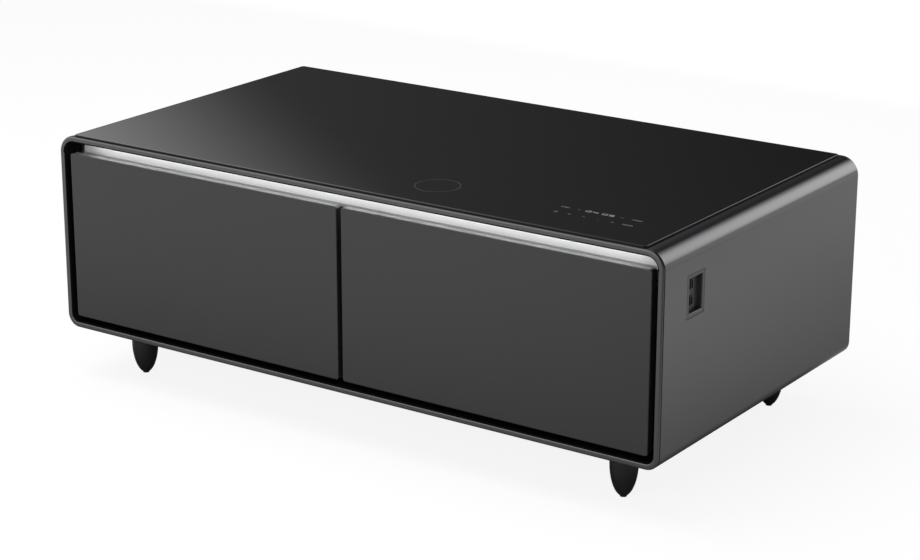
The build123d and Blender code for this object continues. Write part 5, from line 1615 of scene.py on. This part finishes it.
# Studio
@dataclass
class PhotoCamera:
    """Camera at the photograph's place, worked out from the body's edges."""

    spot: Triple = (2.481363, -3.588265, 1.631509)
    azimuth: float = 0.6017
    elevation: float = 0.314
    roll: float = 0.002247
    focal: float = 2457.118
    frame_width: float = 920.0
    sensor: float = 36.0
    clip: Point = (0.05, 400.0)

    def build(self) -> None:
        """Place the camera."""
        data = bpy.data.cameras.new("photo_camera")
        data.sensor_width = self.sensor
        data.sensor_fit = "HORIZONTAL"
        data.lens = self.focal / self.frame_width * self.sensor
        data.clip_start, data.clip_end = self.clip
        camera = linked("photo_camera", data)
        az, el = self.azimuth, self.elevation
        ahead = Vector((-math.sin(az) * math.cos(el), math.cos(az) * math.cos(el), -math.sin(el)))
        right = Vector((math.cos(az), math.sin(az), 0.0))
        up = right.cross(ahead)
        turned = right * math.cos(self.roll) + up * math.sin(self.roll)
        lifted = up * math.cos(self.roll) - right * math.sin(self.roll)
        rows = Matrix((turned, lifted, -ahead)).transposed().to_4x4()
        rows.translation = Vector(self.spot)
        camera.matrix_world = rows
        bpy.context.scene.camera = camera
        LOG.info("camera: lens %.2f mm", data.lens)


@dataclass
class Studio:
    """Pale floor, white surroundings, soft lamps and dark flags that only reflections see."""

    floor_reach: float = 150.0
    floor_drop: float = -0.5
    floor_white: float = 0.92
    floor_glow: float = 0.88
    floor_peak: float = 1.5
    # Floor as reflections see it: a painted shadow round the table, a painted dark corner at the front right, painted
    # shade behind and painted light far behind
    table_half: Point = (0.65, 0.35)
    beside_line: Point = (1.3, 0.27)
    beside_from: Point = (0.6, 0.75)
    before_least: float = 0.2
    before_span: Point = (-0.2, 1.0)
    contact_least: float = 0.1
    contact_span: Point = (-0.06, 0.13)
    corner_shade: float = 0.85
    corner_spans: tuple[Point, Point] = ((-0.4, 1.2), (-1.1, -0.3))
    rear_shade: float = 0.16
    rear_span: Point = (0.2, 1.2)
    far_light: float = 0.28
    far_span: Point = (1.6, 3.2)
    fill: float = 0.55
    lamps: tuple[tuple[str, Triple, Triple, Point, float], ...] = (
        ("overhead", (-0.8, -0.6, 3.4), (0.0, 0.0, 0.2), (3.2, 2.4), 95.0),
        ("front_fill", (0.5, -4.2, 1.9), (0.0, 0.0, 0.3), (3.4, 1.8), 60.0),
    )
    flag_reach: float = 60.0
    flag_lifts: tuple[int, ...] = (4, 10, 15, 20, 30, 45, 60, 75)
    flag_levels: Point = (0.035, 0.088)
    flag_line: Point = (0.0042, 0.080)
    card_corner: Point = (35.0, 15.5)
    card_slope: float = 1.2
    card_edge: Point = (1.7, 12.3)
    card_end: Point = (80.0, 120.0)
    box_spot: Point = (23.0, 17.0)
    box_squeeze: float = 0.93
    box_edge: Point = (5.0, 29.0)
    box_level: float = 3.3
    front_sides: tuple[Point, Point] = ((85.0, 115.0), (140.0, 175.0))
    front_lifts: tuple[Point, Point] = ((4.0, 14.0), (40.0, 65.0))
    front_level: float = 2.25

    def build(self) -> None:
        """Make the whole set."""
        self.build_world()
        self.build_floor()
        self.build_flags()
        self.build_lamps()

    @staticmethod
    def seen(shade: Shade) -> Wire:
        """One for camera, glossy and transmission rays, else zero."""
        rays = ("Is Camera Ray", "Is Glossy Ray", "Is Transmission Ray")
        return sum(shade.node("ShaderNodeLightPath", output=name) for name in rays).over(0.5)

    @staticmethod
    def _emission(shade: Shade, level: Wire, top: float) -> Wire:
        """White light of a level that stays under a top."""
        glow = shade.tint(level * (1 / top), (0.0, 0.0, 0.0), (top, top, top))
        return shade.node("ShaderNodeEmission", {}, {"Color": glow, "Strength": 1.0})

    def build_world(self) -> None:
        """White surroundings for what is seen, a softer fill for the light."""
        world = bpy.data.worlds.new("studio")
        bpy.context.scene.world = world
        shade = Shade(world)
        soft, white = (
            shade.node("ShaderNodeBackground", {}, {"Color": (1.0, 1.0, 1.0, 1.0), "Strength": strength})
            for strength in (self.fill, 1.0)
        )
        mixed = shade.node("ShaderNodeMixShader", {}, {0: self.seen(shade), 1: soft, 2: white})
        shade.close(mixed, "ShaderNodeOutputWorld")

    def build_floor(self) -> None:
        """White floor that keeps a soft shadow of the table; reflections see it with a painted shadow round the table,
        a painted dark corner at the front right, painted shade behind it and painted light farther behind.
        """
        maker = MeshMaker("floor")
        reach = self.floor_reach / MM
        corners = ((-reach, -reach), (reach, -reach), (reach, reach), (-reach, reach))
        maker.bm.faces.new([maker.vert((x, y, self.floor_drop)) for x, y in corners])
        material = bpy.data.materials.new("studio_floor")
        shade = Shade(material)
        paper = shade.node("ShaderNodeBsdfDiffuse", {}, {"Color": (*[self.floor_white] * 3, 1.0)})
        x, y = (shade.axis(name) for name in ("X", "Y"))
        side, end = (where.math("ABSOLUTE") - half for where, half in zip((x, y), self.table_half))
        away = side.math("MAXIMUM", end)
        camera = shade.node("ShaderNodeLightPath", output="Is Camera Ray")
        beside = (side * self.beside_line[0] + self.beside_line[1]).math("MINIMUM", 1.0)
        before = self.before_least + away.ramp(*self.before_span) * (1 - self.before_least)
        contact = self.contact_least + away.ramp(*self.contact_span) * (1 - self.contact_least)
        near = (before + x.ramp(*self.beside_from) * (beside - before)) * contact
        left_of, ahead_of = self.corner_spans
        corner = x.ramp(*left_of) * (1.0 - y.ramp(*ahead_of)) * self.corner_shade
        behind = 1.0 - y.ramp(*self.rear_span) * self.rear_shade + y.ramp(*self.far_span) * self.far_light
        # Camera rays see the floor evenly white; reflections see it with the painted shadow and shade above
        level = (near * (1.0 - corner) * behind).math("MAXIMUM", camera)
        white = self._emission(shade, level, self.floor_peak)
        mix = {0: self.seen(shade) * self.floor_glow, 1: paper, 2: white}
        shade.close(shade.node("ShaderNodeMixShader", {}, mix))
        floor = self._stage_mesh(maker, material)
        floor.data.polygons[0].use_smooth = False

    @staticmethod
    def _stage_mesh(maker: MeshMaker, material: bpy.types.Material) -> Object:
        """Turn a maker's mesh into a stage object.

        Args:
            maker: The maker.
            material: The material.

        Returns:
            The stage object.
        """
        mesh = bpy.data.meshes.new(maker.name)
        maker.bm.to_mesh(mesh)
        maker.bm.free()
        mesh.materials.append(material)
        obj = linked(maker.name, mesh)
        return obj

    def build_flags(self) -> None:
        """Dark flags above the horizon, a card at the left rear, and soft boxes at the right rear and in front."""
        maker = MeshMaker("dark_flags")
        rings = []
        for lift in (math.radians(degrees) for degrees in self.flag_lifts):
            reach = self.flag_reach / MM
            ring = circle((0.0, 0.0), reach * math.cos(lift), 72)
            rings.append([(x, y, reach * math.sin(lift)) for x, y in ring])
        maker.rings(rings)
        material = bpy.data.materials.new("flag_cloth")
        shade = Shade(material)
        x, y, z = (shade.axis(name) for name in ("X", "Y", "Z"))
        degrees = 180 / math.pi
        lift = z.math("ARCTAN2", (x * x + y * y) ** 0.5) * degrees
        left = (x * -1.0).math("ARCTAN2", y) * degrees
        near = (left - self.card_corner[0]) + (lift - self.card_corner[1]) * self.card_slope
        low, high = self.flag_levels
        flag = (near * self.flag_line[0] + self.flag_line[1]).math("MAXIMUM", low).math("MINIMUM", high)
        card = near.ramp(*self.card_edge) * (1.0 - left.ramp(*self.card_end))
        off_side, off_lift = (left + self.box_spot[0]) * self.box_squeeze, lift - self.box_spot[1]
        away = (off_side * off_side + off_lift * off_lift) ** 0.5
        box = (1.0 - away.ramp(*self.box_edge)) * self.box_level
        across = left.ramp(*self.front_sides[0]) + (left * -1.0).ramp(*self.front_sides[1])
        front = across * lift.ramp(*self.front_lifts[0]) * (1.0 - lift.ramp(*self.front_lifts[1])) * self.front_level
        shade.close(self._emission(shade, flag + card * (1.0 - flag) + box + front, self.box_level + 1.0))
        self._reflection_only(self._stage_mesh(maker, material))

    @staticmethod
    def _reflection_only(obj: Object) -> None:
        """Let only reflections see an object."""
        for ray in ("camera", "diffuse", "transmission", "volume_scatter", "shadow"):
            setattr(obj, "visible_" + ray, False)

    def build_lamps(self) -> None:
        """Area lamps, each with its place, aim, size and power, which reflections don't show."""
        for name, spot, aim, size, power in self.lamps:
            data = bpy.data.lights.new(name, "AREA")
            data.shape = "RECTANGLE"
            data.size, data.size_y = size
            data.energy = power
            lamp = linked(name, data)
            lamp.location = spot
            lamp.rotation_euler = (Vector(aim) - Vector(spot)).to_track_quat("-Z", "Y").to_euler()
            lamp.visible_camera = False
            lamp.visible_glossy = False


def main() -> None:
    """Build the table piece by piece, then the set and the camera."""
    logging.basicConfig(level=logging.INFO, format="%(name)s %(message)s")
    rows, points = RowCopier(), PointCopier()
    cabinet = Cabinet()
    cabinet.build_shell()
    cabinet.build_rim()
    cabinet.build_back(rows)
    glass = TopGlass()
    glass.build_plate()
    glass.build_ring()
    glass.build_marks()
    foot = Foot()
    for depth, y_side in (("front", -1), ("rear", 1)):
        for hand, x_side in (("left", -1), ("right", 1)):
            foot.build(f"{depth}_{hand}", x_side, y_side)
    for name, side in (("left", -1), ("right", 1)):
        drawer = Drawer(name, side)
        drawer.build_front()
        drawer.build_grip()
        drawer.build_gasket()
        drawer.build_inside(points)
        drawer.build_balls(rows)
    small = SmallPieces()
    small.build()
    small.build_reflector()
    small.build_back_screws(cabinet, points)
    CarriedOver().dress()
    Studio().build()
    PhotoCamera().build()
    bpy.context.scene.view_settings.view_transform = "Standard"


if __name__ == "__main__":
    main()
